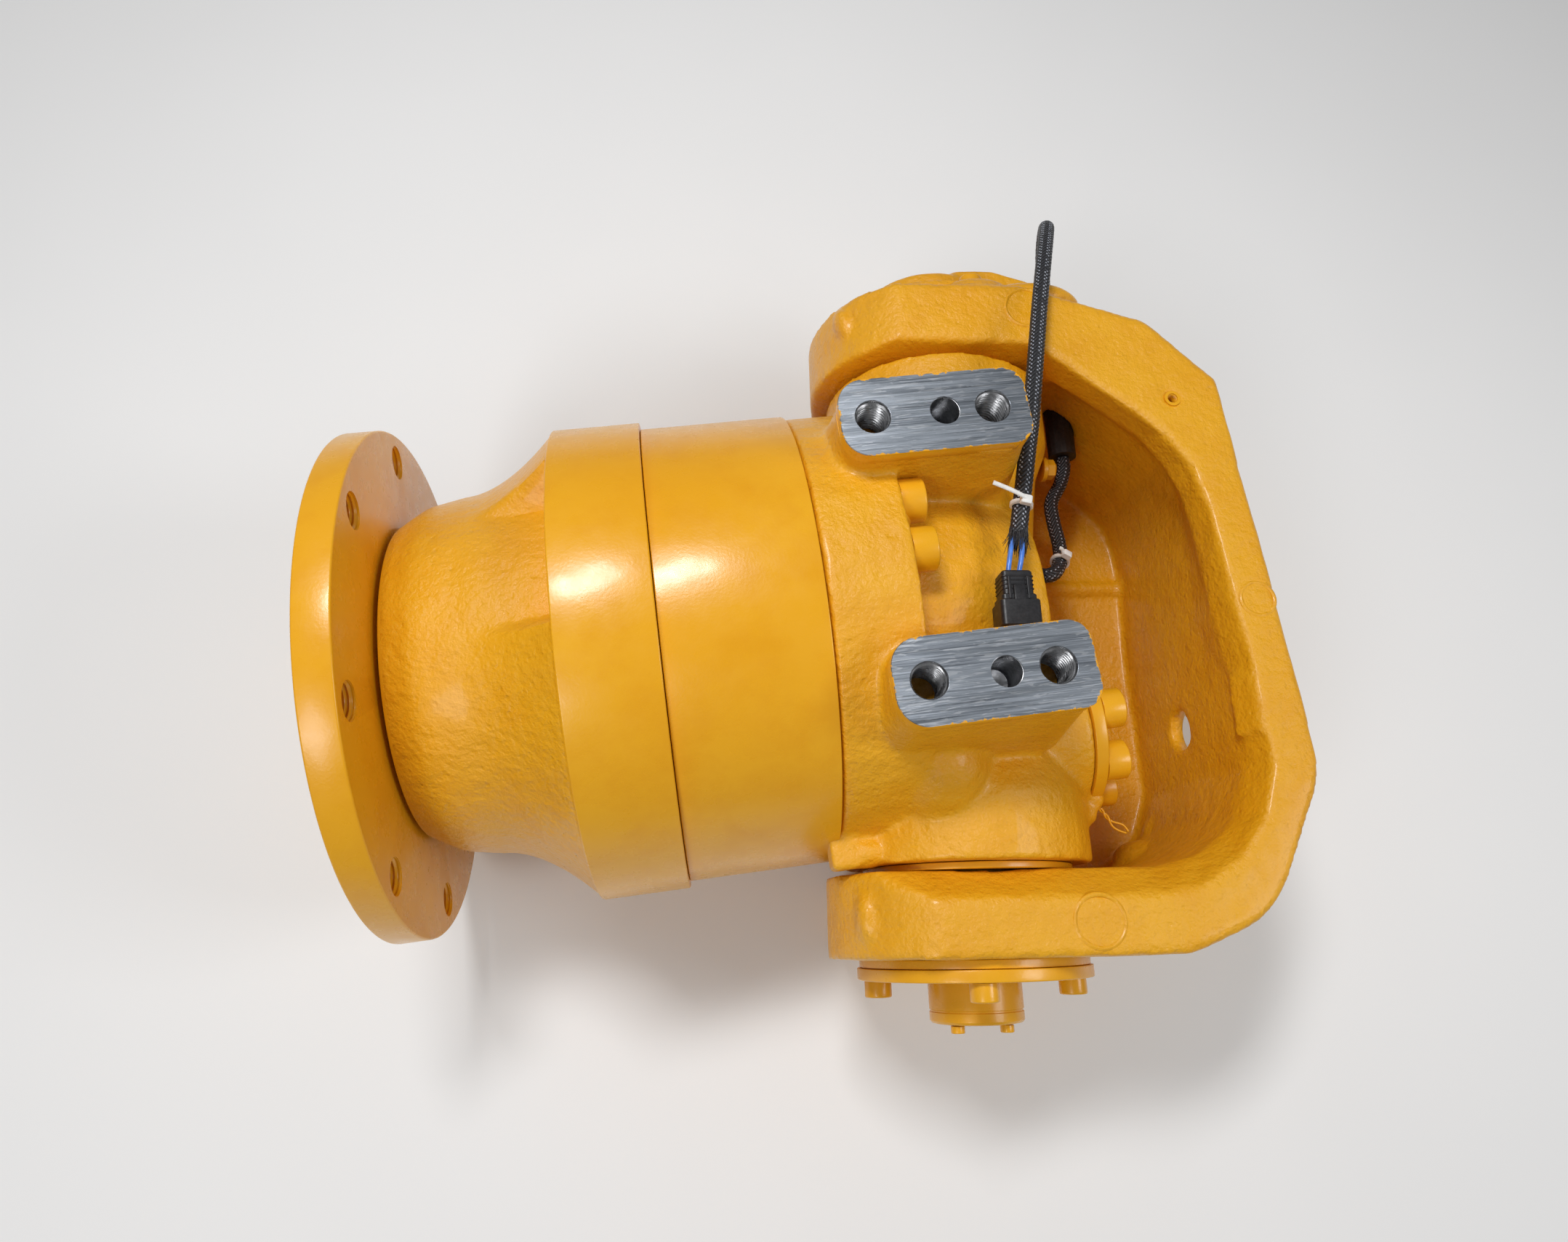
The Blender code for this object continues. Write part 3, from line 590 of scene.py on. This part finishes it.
def block(low, high, place=WORLD):
    """A box between two corners, in mm, for a casting to flow round."""
    bm = bmesh.new()
    size = [(b - a) * MM for a, b in zip(low, high)]
    middle = [(a + b) / 2 * MM for a, b in zip(low, high)]
    bmesh.ops.create_cube(bm, size=1.0,
                          matrix=place @ Matrix.Translation(middle) @ Matrix.Diagonal((*size, 1)))
    mesh = bpy.data.meshes.new("block")
    bm.to_mesh(mesh)
    bm.free()
    return mesh


def ease(solid, voxel, rounds, wave):
    """Fuse overlapping solids into one skin with rounded edges and slightly uneven faces."""
    work = bpy.data.objects.new("work", solid)
    SCENE.collection.objects.link(work)
    remesh = work.modifiers.new("remesh", "REMESH")
    remesh.mode = "VOXEL"
    remesh.voxel_size = voxel * MM
    smooth = work.modifiers.new("smooth", "SMOOTH")
    smooth.factor = 0.5
    smooth.iterations = rounds
    mesh = bake(work)
    bpy.data.objects.remove(work, do_unlink=True)
    shifts = []
    for vertex in mesh.vertices:
        p = vertex.co / MM
        lift = noise.noise(p / 26.0) * wave + noise.noise(p / 9.0) * wave * 0.45
        shifts.append(vertex.co + vertex.normal * lift * MM)
    for vertex, place in zip(mesh.vertices, shifts):
        vertex.co = place
    return mesh


def casting(name, node, extras, voxel, rounds, wave):
    """The CAD solid as a sand casting, with the small bosses that a pattern leaves."""
    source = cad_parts[node]
    solid = source.data.copy()
    solid.transform(source.matrix_world)
    mesh = ease(join(solid, *extras), voxel, rounds, wave)
    mesh.name = name
    return mesh


def make_room(mesh, height, holes):
    """Lower a casting's pads under their machined faces and widen its holes for the sleeves."""
    for vertex in mesh.vertices:
        p = vertex.co / MM
        for x, y, radius in holes:
            out = Vector((p.x - x, p.y - y))
            if p.z > 116.5 and out.length < radius:
                out = out.normalized() * radius if out.length > 1e-6 else Vector((radius, 0))
                vertex.co.x, vertex.co.y = (x + out.x) * MM, (y + out.y) * MM
        vertex.co.z = min(vertex.co.z, height * MM)


# ---- leads, the first pieces made ----------------------------------------------
def sleeve_profile(k, run):
    """The braid's strands stand a little proud of the sleeve."""
    first = 6 * k + run * 0.165
    second = 6 * k - run * 0.165
    return 0.035 * (abs(math.sin(math.pi * first)) + abs(math.sin(math.pi * second)) - 1.2)


def leads():
    inner_route = [(424.8, 22, 8), (433, 23, 7.6), (441, 32, 2), (446, 46, -4), (448, 66, -9),
                   at(84, 92, -12), at(93, 108, -14.5), at(97, 120, -15), at(97, 128.2, -15)]
    outer_route = [
        at(97, 193.8, -15), at(97, 202, -15), at(96, 213, -12.5), at(93, 228, -5),
        at(89, 243, 6), at(84, 256, 21), at(79.5, 265, 38), at(76, 267.5, 54),
        at(71.5, 258.5, 69), at(66, 242, 79), at(60, 221, 87), at(54.5, 199, 92.5),
        at(49.7, 177.7, 96), at(44.6, 153.9, 100), at(39.7, 130.8, 104), at(35.2, 109.1, 107),
        at(31.1, 88.3, 109.5), at(26.6, 68.6, 111), at(23, 50.2, 111), at(19.2, 30.9, 110.5),
        at(16.7, 16.9, 110)]
    made = {}
    for name, route in (("sensor_lead_inner", inner_route), ("sensor_lead_outer", outer_route)):
        path, length = spline(route, 1.2)
        mesh = sweep(name + "_sleeve", path, 5.0, 28, 4.75, profile=sleeve_profile)
        obj = new_object(name + "_sleeve", mesh, BRAID, None, angle=180)
        made[name] = (obj, path, length, route)

    obj, path, length, route = made["sensor_lead_inner"]
    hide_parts("sensor_lead_inner")
    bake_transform(obj)
    inner_tie = cable_tie("inner_lead_tie", path, 0.20, Vector((0.25, 0.1, 0.9)), 5, None,
                          "knuckle")

    obj, path, length, route = made["sensor_lead_outer"]
    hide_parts("sensor_lead_outer")
    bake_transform(obj)

    end, before = path[-1], path[-4]
    ahead = (end - before).normalized()
    rng = random.Random(7)
    hairs = []
    for _ in range(190):
        angle = rng.uniform(0, 2 * math.pi)
        side = ahead.orthogonal().normalized()
        out = side * math.cos(angle) + ahead.cross(side) * math.sin(angle)
        start = end + out * 4.6 * rng.uniform(0.8, 1.0) - ahead * rng.uniform(0.5, 7.0)
        reach = rng.uniform(7.0, 15.0)
        spread = rng.uniform(0.6, 5.0) * (1.0 if rng.random() < 0.45 else 0.45)
        mid = start + ahead * reach * 0.5 + out * spread * 0.4
        tip = start + ahead * reach + out * spread - out * rng.uniform(0.0, 2.8)
        hairs.append(sweep("hair", spline([start, mid, tip], reach / 5)[0], 0.33, 4,
                           taper=lambda t: 1.0 - 0.6 * t))
    frayed = new_object("lead_frayed_strands", join(*hairs), STRAND, "knuckle", angle=180)

    for node, shift, bow in (("signal_wire_1", -3.0, -0.6), ("signal_wire_2", 3.0, 0.8)):
        start = Vector(at(16.7 + shift * 0.5, 20.0, 110 + bow * 0.5))
        stop = Vector(at(10.7 + shift, -8.3, 112.0))
        mid = start.lerp(stop, 0.5) + Vector((bow * 1.4, 0, 1.2))
        mesh = sweep(node + "_insulation", spline([start, mid, stop], 0.8)[0], 1.4, 14)
        new_object(node + "_insulation", mesh, BLUE, "knuckle", [node], angle=180)
    tie = cable_tie("lead_cable_tie_band", path, 0.955, Vector((0.02, -0.1, 1.0)), 46,
                    Vector((361.5, 40.5, 127.0)), "knuckle", ["lead_cable_tie"])
    plug = connector()


def cable_tie(name, path, share, upward, tail, tip, body, nodes=()):
    """A nylon strap pulled tight round a lead: band, ribbed head and cut tail."""
    index = int(share * (len(path) - 1))
    centre = path[index]
    ahead = (path[index + 2] - path[index - 2]).normalized()
    up = (upward - ahead * upward.dot(ahead)).normalized()
    side = ahead.cross(up)
    place = Matrix((
        (side.x, up.x, ahead.x, centre.x * MM), (side.y, up.y, ahead.y, centre.y * MM),
        (side.z, up.z, ahead.z, centre.z * MM), (0, 0, 0, 1)))
    band = lathe(name, [(6.6, 1.3, 0.3), (6.6, -1.3, 0.3), (5.15, -1.3), (5.15, 1.3)], place, 48)
    head = slab("head", fillet([(-3.4, 5.9, 0.8), (3.4, 5.9, 0.8), (3.1, 10.3, 1.2),
                                (-3.1, 10.3, 1.2)], 4), -2.5, 2.5, 0.5, place)
    parts = [band, head]
    start = centre + up * 8.4 - side * 3.0
    if tip is None:
        tip = start - side * tail * 0.8 + up * tail * 0.3
    mid = start.lerp(tip, 0.5) + up * 1.2
    strap = spline([start + side * 5, start, mid, tip], 1.5)[0]
    parts.append(sweep("strap", strap, 1.25, 12, 0.55))
    return new_object(name, join(*parts), NYLON, body, nodes, angle=40)


def connector():
    """Two-way plug: rear grip, stepped shell, side ribs and a latch."""
    place = KINGPIN_PLACE @ Matrix.Translation((10.7 * MM, -7.7 * MM, 112 * MM)) \
        @ Matrix.Rotation(math.radians(90), 4, "X")

    def rounded(hx, hz, r):
        return fillet([(-hx, -hz, r), (hx, -hz, r), (hx, hz, r), (-hx, hz, r)], 5)

    parts = [slab("connector_housing", rounded(8.6, 7.6, 2.4), 0.0, 17.0, 0.9, place),
             slab("collar", rounded(9.7, 8.6, 2.2), 13.8, 17.5, 0.6, place),
             slab("shell", rounded(11.2, 9.8, 2.8), 17.0, 32.0, 0.7, place)]
    for k in range(4):
        parts.append(slab("rib", rounded(9.0, 7.9, 2.2), 3.0 + 2.4 * k, 3.9 + 2.4 * k, 0.3,
                          place))
    latch = place @ Matrix.Translation((0, 8.2 * MM, 0))
    parts.append(slab("latch", rounded(3.4, 1.5, 0.8), 9.0, 27.0, 0.5, latch))
    for x in (-5.2, 5.2):
        rail = place @ Matrix.Translation((x * MM, 8.1 * MM, 0))
        parts.append(slab("rail", rounded(0.8, 1.0, 0.4), 4.0, 17.0, 0.3, rail))
    body = new_object("connector_housing", join(*parts), PLASTIC, "knuckle", ["connector"])
    plugs = []
    for x in (-3.0, 3.0):
        seal = place @ Matrix.Translation((x * MM, 0, 0))
        plugs.append(lathe("wire_seal", [(0, 0.4), (2.3, 0.4, 0.3), (2.3, -0.9, 0.4), (0, -0.9)],
                           seal, 24))
    seals = new_object("connector_wire_seals", join(*plugs), RUBBER, "knuckle")
    return [body, seals]


leads()


# ---- wheel side ----------------------------------------------------------------
def around(place, radius, degrees):
    """A place on a circle about a frame's local Z; degrees run from world +Z towards +Y."""
    return place @ Matrix.Rotation(math.radians(-degrees), 4, "Z") @ Matrix.Translation(
        (-radius * MM, 0, 0))


def wheel():
    body = lathe("wheel_flange", [
        (0, 252), (42, 252, 1), (42, 48), (60, 48, 1), (60, 28, 1), (67, 19, 3),
        (155, 19, 1.2), (155, 0, 1.2), (0, 0)], MOTOR, 256)
    holes, taps = [], []
    for k in range(8):
        place = around(MOTOR, WHEEL_CIRCLE_R, -18 + 45 * k)
        holes.append((place, 10.4, -2, 22))
        taps.append(thread("tap", place, 10.15, 8.9, M20_PITCH, 0.5, 18.5, 10.38))
    body = drill(body, holes, 64)
    new_object("wheel_flange", body, SMOOTH_PAINT, "wheel", ["drive_shaft"])
    new_object("wheel_hole_threads", join(*taps), SMOOTH_PAINT, "wheel", angle=50)


wheel()


# ---- bearing housing and cam ring -------------------------------------------------
def pocketed(r, h, angle):
    """The neck's flare is scooped out where the wheel bolts need room."""
    if h < 64 or h > 118.5 or r < 105.5:
        return r
    turn = math.degrees(angle)
    best = 0.0
    for centre in (165.0, 345.0):          # local angle: 180 is world +Z
        away = abs((turn - centre + 180) % 360 - 180)
        t = min(1.0, max(0.0, (22.5 - away) / 5.0))
        best = max(best, t * t * (3 - 2 * t))
    floor = 111.5 + (h - 62) * 0.11
    return r + (min(r, floor) - r) * best


def housing():
    neck = [(105, 171), (146, 171, 0.8), (146, 119.6, 1.0), (143.5, 118.4)]
    for k in range(17):
        t = k / 16
        h = 118 - 56 * t
        r = 111 + 32.2 * (1 - t) ** 1.75
        neck.append((r, h))
    neck += [(107, 40, 30), (98.0, 24.0, 1.5), (97, 22, 1.0), (75, 22, 1.0), (75, 152), (105, 156)]
    mesh = lathe("bearing_housing_body", neck, MOTOR, 320, pocketed)
    obj = new_object("bearing_housing_body", mesh, CAST_PAINT, "knuckle", ["bearing_housing"])
    obj.data.materials.append(SMOOTH_PAINT)
    for face in obj.data.polygons:
        x = face.center.x / MM
        if x > 118.9 or x < 24:
            face.material_index = 1

    def lobes(r, _height, angle):
        return 112 + 4 * math.cos(6 * angle) if r < 120 else r
    mesh = lathe("cam_ring_body", [
        (142, 258.2, 0.7), (142, 171.4, 0.7), (114, 171.4), (114, 258.2)], MOTOR, 320, lobes)
    new_object("cam_ring_body", mesh, SMOOTH_PAINT, "knuckle", ["cam_ring"])


housing()


# ---- knuckle -------------------------------------------------------------------
MAIN_BOLTS = (3.0, 17.5, 162.5, 177.5, -167.5, -152.5)
PORT_BOLTS = (3, -43, -89, -135, -181, -227)
PORT_PLACE = Matrix.Translation((0, -80 * MM, 5 * MM)) @ MOTOR


def bolt(name, node, place, radius, height, shank, depth, body):
    """Socket-head screw under paint: rounded rim, hexagon socket, part of its shank."""
    mesh = lathe(name, [(0, height), (radius, height, min(1.2, radius * 0.14)), (radius, 0, 0.2),
                        (shank, 0), (shank, -depth), (0, -depth)], place, 56)
    key = bmesh.new()
    bmesh.ops.create_cone(
        key, cap_ends=True, segments=6, radius1=radius * 0.5 * MM, radius2=radius * 0.54 * MM,
        depth=height * 0.6 * MM,
        matrix=place @ Matrix.Translation((0, 0, height * 0.8 * MM)))
    tool = bpy.data.meshes.new("key")
    key.to_mesh(tool)
    key.free()
    new_object(name, carve(mesh, tool), SMOOTH_PAINT, body, [node])


def knuckle():
    extras = [
        block((252, -150, 28), (268, -126, 48)), lump((274, -142, 38), (14, 9, 11)),
        lump((420, -126, 20), (7, 9, 8)), lump((414, -136, 20), (6, 7, 7)),
        lump((306, 30, 118), (9, 12, 10)),
        lump((300, 112, 40), (9, 22, 34)), lump((300, -96, 60), (10, 22, 30)),
        lump((385, 92, 60), (14, 12, 22)),
        lump((318, -100, 28), (38, 40, 66)),
    ]
    mesh = casting("knuckle_casting", "knuckle", extras, 1.9, 7, 0.32)
    make_room(mesh, 143.0, [(x + a, y, r) for _, x, y in PADS
                            for a, r in zip(PAD_HOLES, (10.6, 9.2, 10.6))])
    new_object("knuckle_casting", mesh, CAST_PAINT, "knuckle", ["knuckle"], angle=180)

    for side, x, y in PADS:
        outline = [(x + a, y + b) for a, b in fillet(
            [(-52, -23, 16), (52, -23, 12), (52, 23, 12), (-52, 23, 16)], 10)]
        place = Matrix.Translation((x * MM, y * MM, 0))
        holes = [(place @ Matrix.Translation((a * MM, 0, 0)), r, 130, 160)
                 for a, r in zip(PAD_HOLES, (9.9, 8.3, 9.9))]
        top = drill(slab(side + "_pad_face", outline, 141.0, 150.0, 0.35), holes, 56)
        face = new_object(side + "_steering_pad", top,
                          milled(side + "_milled_face", (x * MM, y * MM), (0.052, 0.023)),
                          "knuckle")
        face.data.materials.append(SMOOTH_PAINT)
        for polygon in face.data.polygons:
            outside = abs(polygon.center.x / MM - x) > 51 or abs(polygon.center.y / MM - y) > 22
            corner = (Vector(polygon.center[:2]) / MM - Vector((x, y))).length > 46
            if polygon.normal.z < 0.5 and (outside or corner):
                polygon.material_index = 1
        for k, a in enumerate((PAD_HOLES[0], PAD_HOLES[2])):
            hole = place @ Matrix.Translation((a * MM, 0, 0))
            new_object(f"{side}_pad_thread_{k + 1}", thread(
                "thread", hole, 9.8, 8.4, M20_PITCH, 119.0, 149.6, 11.0), THREAD_STEEL,
                "knuckle", angle=50)
        hole = place @ Matrix.Translation((PAD_HOLES[1] * MM, 0, 0))
        bore = [(9.6, 149.4), (9.6, 118), (0, 118), (0, 119.5), (7.6, 124), (8.1, 149.0)]
        new_object(side + "_pad_plain_hole", lathe("plain_hole", bore, hole, 48),
                   THREAD_STEEL, "knuckle")

    wire_route = [(420, -131, 21), (424, -136, 20), (428, -143, 20), (433, -146.5, 19),
                  (437, -150, 18.5)]
    line = spline(wire_route, 0.7)[0]
    strands = []
    for phase in (0.0, math.pi):
        twisted = []
        for i, p in enumerate(line):
            t = i / (len(line) - 1)
            spread = 0.75 if t < 0.55 else 0.75 + 1.6 * math.sin(math.pi * (t - 0.55) / 0.45)
            angle = phase + (5.5 * math.pi * min(t, 0.55))
            twisted.append(p + Vector((math.cos(angle) * 0.86, math.cos(angle) * 0.5,
                                       math.sin(angle))) * spread)
        strands.append(sweep("strand", twisted, 0.62, 10))
    new_object("lock_wire", join(*strands), SMOOTH_PAINT, "knuckle", angle=180)
    for k, angle in enumerate(MAIN_BOLTS):
        seat = around(MOTOR, 125, angle) @ Matrix.Translation((0, 0, 308.3 * MM))
        bolt(f"main_screw_{k + 1}", f"main_bolt_{k + 1}", seat, 12.5, 14.0, 7.0, 20, "knuckle")
    cover = lathe("port_cover_plate", [(0, 424), (52, 424, 1.2), (52, 416.3, 0.4), (0, 416.3)],
                  PORT_PLACE, 128)
    new_object("port_cover_plate", cover, SMOOTH_PAINT, "knuckle", ["port_cover"])
    for k, angle in enumerate(PORT_BOLTS):
        seat = around(PORT_PLACE, 40, angle) @ Matrix.Translation((0, 0, 424.3 * MM))
        bolt(f"port_screw_{k + 1}", f"port_cover_bolt_{k + 1}", seat, 12.0, 14.0, 5.0, 6,
             "knuckle")
    plug_at = KINGPIN_PLACE @ Matrix.Translation((0, 112 * MM, 0)) @ MOTOR
    mesh = lathe("bleed_plug_head", [(0, 84), (5.9, 84, 0.5), (7, 83, 0.3), (7, 75.4), (0, 75.4)],
                 plug_at, 6)
    washer = lathe("washer", [(0, 77.4), (8.6, 77.4, 0.4), (8.6, 74.5), (0, 74.5)], plug_at, 48)
    new_object("bleed_plug_head", join(mesh, washer), SMOOTH_PAINT, "knuckle", ["bleed_plug"])
    sensor_at = Matrix.Translation((0, 22 * MM, 8 * MM)) @ MOTOR
    mesh = lathe("speed_sensor_body", [
        (0, 424), (5.2, 424), (7, 423.6, 0.8), (8, 422.6, 0.8), (8, 417), (7.3, 416.4),
        (7.3, 414), (8, 413.4), (8, 405, 1.2), (12, 404, 0.8), (12, 396.3), (0, 396.3)],
        sensor_at, 64)
    new_object("speed_sensor_body", mesh, PLASTIC, "knuckle", ["speed_sensor"])


knuckle()


# ---- yoke ------------------------------------------------------------------------
def cap_place(place, degrees, radius=57):
    sign = 1 if place is KINGPIN else -1
    return place @ Matrix.Rotation(math.radians(-sign * (90 - degrees)), 4, "Z") \
        @ Matrix.Translation((radius * MM, 0, 0))


def yoke():
    local = KINGPIN_PLACE
    extras = [
        lump((58, 212, 42), (40, 12, 26), local), lump((20, 211, 60), (24, 8, 14), local),
        lump((-68, 190, 50), (6, 13, 10), local, 0.3), lump((-70, -186, 44), (6, 15, 12), local),
        lump((142, -150, -66), (22, 13, 20), local), lump((158, -136, -70), (14, 16, 14), local),
        block((60, 50, -92), (158, 58, -84), local),
        block((-1.7, -18.5, -9.5), (4, 18.5, 9.5), local @ Matrix.Translation(
            (157.2 * MM, -70.5 * MM, 66 * MM)) @ Matrix.Rotation(math.radians(19), 4, "Y")),
    ]
    mesh = casting("yoke_casting", "yoke", extras, 2.3, 7, 0.38)
    recess = slab("recess", fillet([(-4, -102, 14), (92, -102, 14), (92, -42, 14), (-4, -42, 14)],
                                   6), 166, 230, 0, local @ MOTOR)
    mesh = carve(mesh, recess)
    mesh = drill(mesh, [(local @ Matrix.Translation((0, -70 * MM, -20 * MM)) @ MOTOR, 13.4,
                         140, 240)], 48)
    new_object("yoke_casting", mesh, CAST_PAINT, "yoke", ["yoke"], angle=180)
    for k, (u, v, radius) in enumerate(((169, -10, 10.5), (51, -191, 14.0), (48, 189, 14.0))):
        place = local @ Matrix.Translation((u * MM, v * MM, 77.4 * MM))
        new_object(f"casting_mark_{k + 1}", lathe("mark", [
            (radius - 2.0, -2), (radius - 1.4, 0.7, 0.4), (radius - 0.2, 1.3, 0.5),
            (radius + 1.0, 0.6, 0.4), (radius + 1.6, -2)], place, 72), CAST_PAINT, "yoke")
    hole = local @ Matrix.Translation((136 * MM, 124 * MM, 0))
    new_object("small_tapped_hole", thread(
        "small", hole, 3.3, 2.6, 1.25, 62, 78.3, 5.2, 32), SMOOTH_PAINT, "yoke", angle=50)

    cap = lathe("upper_cap_body", [
        (0, 242), (40, 242, 4), (46, 238, 3), (48, 217, 4), (68, 217, 1.6), (68, 207.5, 0.5),
        (0, 207.5)], KINGPIN, 160)
    boss = slab("boss", fillet([(0, 214), (82, 212, 5), (84, 222, 6), (66, 237, 14), (38, 245, 12),
                                (12, 244, 8), (0, 236)], 6), -8, 42, 3.0, local)
    cap = ease(join(cap, boss), 1.6, 5, 0.3)
    new_object("upper_cap_body", cap, CAST_PAINT, "yoke", ["upper_kingpin_cap"])
    for k, angle in enumerate((20, 110, 200, 290)):
        seat = cap_place(KINGPIN, angle) @ Matrix.Translation((0, 0, 217.3 * MM))
        bolt(f"upper_cap_screw_{k + 1}", f"upper_cap_bolt_{k + 1}", seat, 8.0, 10.0, 5.0, 8, "yoke")
    shim = lathe("lower_shim_plate", [(67.5, 214, 0.4), (67.5, 209.3, 0.4), (30, 209.3), (30, 214)],
                 LOWER_KINGPIN, 160)
    new_object("lower_shim_plate", shim, SMOOTH_PAINT, "yoke", ["lower_cap_shim"])
    lower = lathe("lower_cap_plate", [(69, 221, 0.8), (69, 214.3, 0.5), (12, 214.3), (12, 221)],
                  LOWER_KINGPIN, 160)
    new_object("lower_cap_plate", lower, SMOOTH_PAINT, "yoke", ["lower_kingpin_cap"])
    for k, angle in enumerate((-9, 81, 171, 261)):
        seat = cap_place(LOWER_KINGPIN, angle) @ Matrix.Translation((0, 0, 221.3 * MM))
        bolt(f"lower_cap_screw_{k + 1}", f"lower_cap_bolt_{k + 1}", seat, 8.0, 10.0, 5.0, 8, "yoke")
    sensor = lathe("steering_sensor_body", [
        (0, 246), (23, 246), (26.4, 245.4, 0.8), (27.5, 244, 0.6), (27.5, 239.4), (26.9, 239),
        (26.9, 238.2), (27.5, 237.8), (27.5, 222.6, 0.6), (0, 222.6)], LOWER_KINGPIN, 128)
    new_object("steering_sensor_body", sensor, SMOOTH_PAINT, "yoke", ["steering_sensor_housing"])
    for k, angle in enumerate((-48, 42)):
        seat = cap_place(LOWER_KINGPIN, angle, 20) @ Matrix.Translation((0, 0, 246.3 * MM))
        bolt(f"sensor_cap_screw_{k + 1}", f"sensor_screw_{k + 1}", seat, 4.0, 4.0, 2.0, 4, "yoke")
    for side, place in (("upper", KINGPIN), ("lower", LOWER_KINGPIN)):
        ring = lathe(side + "_seal_lip", [(63, 161.6, 0.6), (63, 157.9, 0.6), (40, 157.9),
                                          (40, 161.6)], place, 128)
        new_object(side + "_seal_lip", ring, SMOOTH_PAINT, "yoke", [side + "_kingpin_seal"])


yoke()


# ---- the CAD nodes that stay as they are ------------------------------------------
for node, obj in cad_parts.items():
    if obj.hide_render or obj.type != "MESH":
        continue
    if "bearing" in node or "piston" in node or node == "distributor":
        chosen = STEEL
    elif "block" in node:
        chosen = IRON
    elif "seal" in node or "grommet" in node:
        chosen = RUBBER
    else:
        chosen = SMOOTH_PAINT
    if not obj.material_slots:
        obj.data.materials.append(chosen)
    for entry in obj.material_slots:
        entry.link = "OBJECT"
        entry.material = chosen


# ---- floor and lights --------------------------------------------------------------
def floor():
    bm = bmesh.new()
    z = CAD_BOX[0][2] - 0.0005
    bmesh.ops.create_grid(bm, x_segments=2, y_segments=2, size=6.0,
                          matrix=Matrix.Translation((0.3, 0, z)))
    mesh = bpy.data.meshes.new("floor")
    bm.to_mesh(mesh)
    bm.free()
    m = Nodes("studio_floor")
    tone = m.span(m.noise(3.0), 0.3, 0.7, 0.0, 1.0)
    material = m.finish(m.blend(tone, (0.93, 0.93, 0.93), (0.95, 0.95, 0.95)), 0.9)
    mesh.materials.append(material)
    obj = bpy.data.objects.new("floor", mesh)
    SCENE.collection.objects.link(obj)


def area(name, place, target, size, power, colour=(1, 1, 1)):
    data = bpy.data.lights.new(name, "AREA")
    data.shape = "RECTANGLE"
    data.size, data.size_y = size
    data.energy = power
    data.color = colour
    obj = bpy.data.objects.new(name, data)
    SCENE.collection.objects.link(obj)
    obj.location = place
    obj.rotation_euler = (Vector(target) - Vector(place)).to_track_quat("-Z", "Y").to_euler()


def lights():
    world = bpy.data.worlds.new("studio")
    world.use_nodes = True
    world.node_tree.nodes["Background"].inputs["Color"].default_value = (1, 1, 1, 1)
    world.node_tree.nodes["Background"].inputs["Strength"].default_value = 0.20
    SCENE.world = world
    middle = (0.28, 0.0, 0.0)
    area("key", (-0.02, 0.50, 1.40), middle, (0.42, 0.22), 12)
    area("front", (-0.55, -0.75, 1.25), middle, (0.5, 0.5), 6)
    area("right", (1.3, -0.35, 1.1), middle, (0.5, 0.5), 5)


floor()
lights()
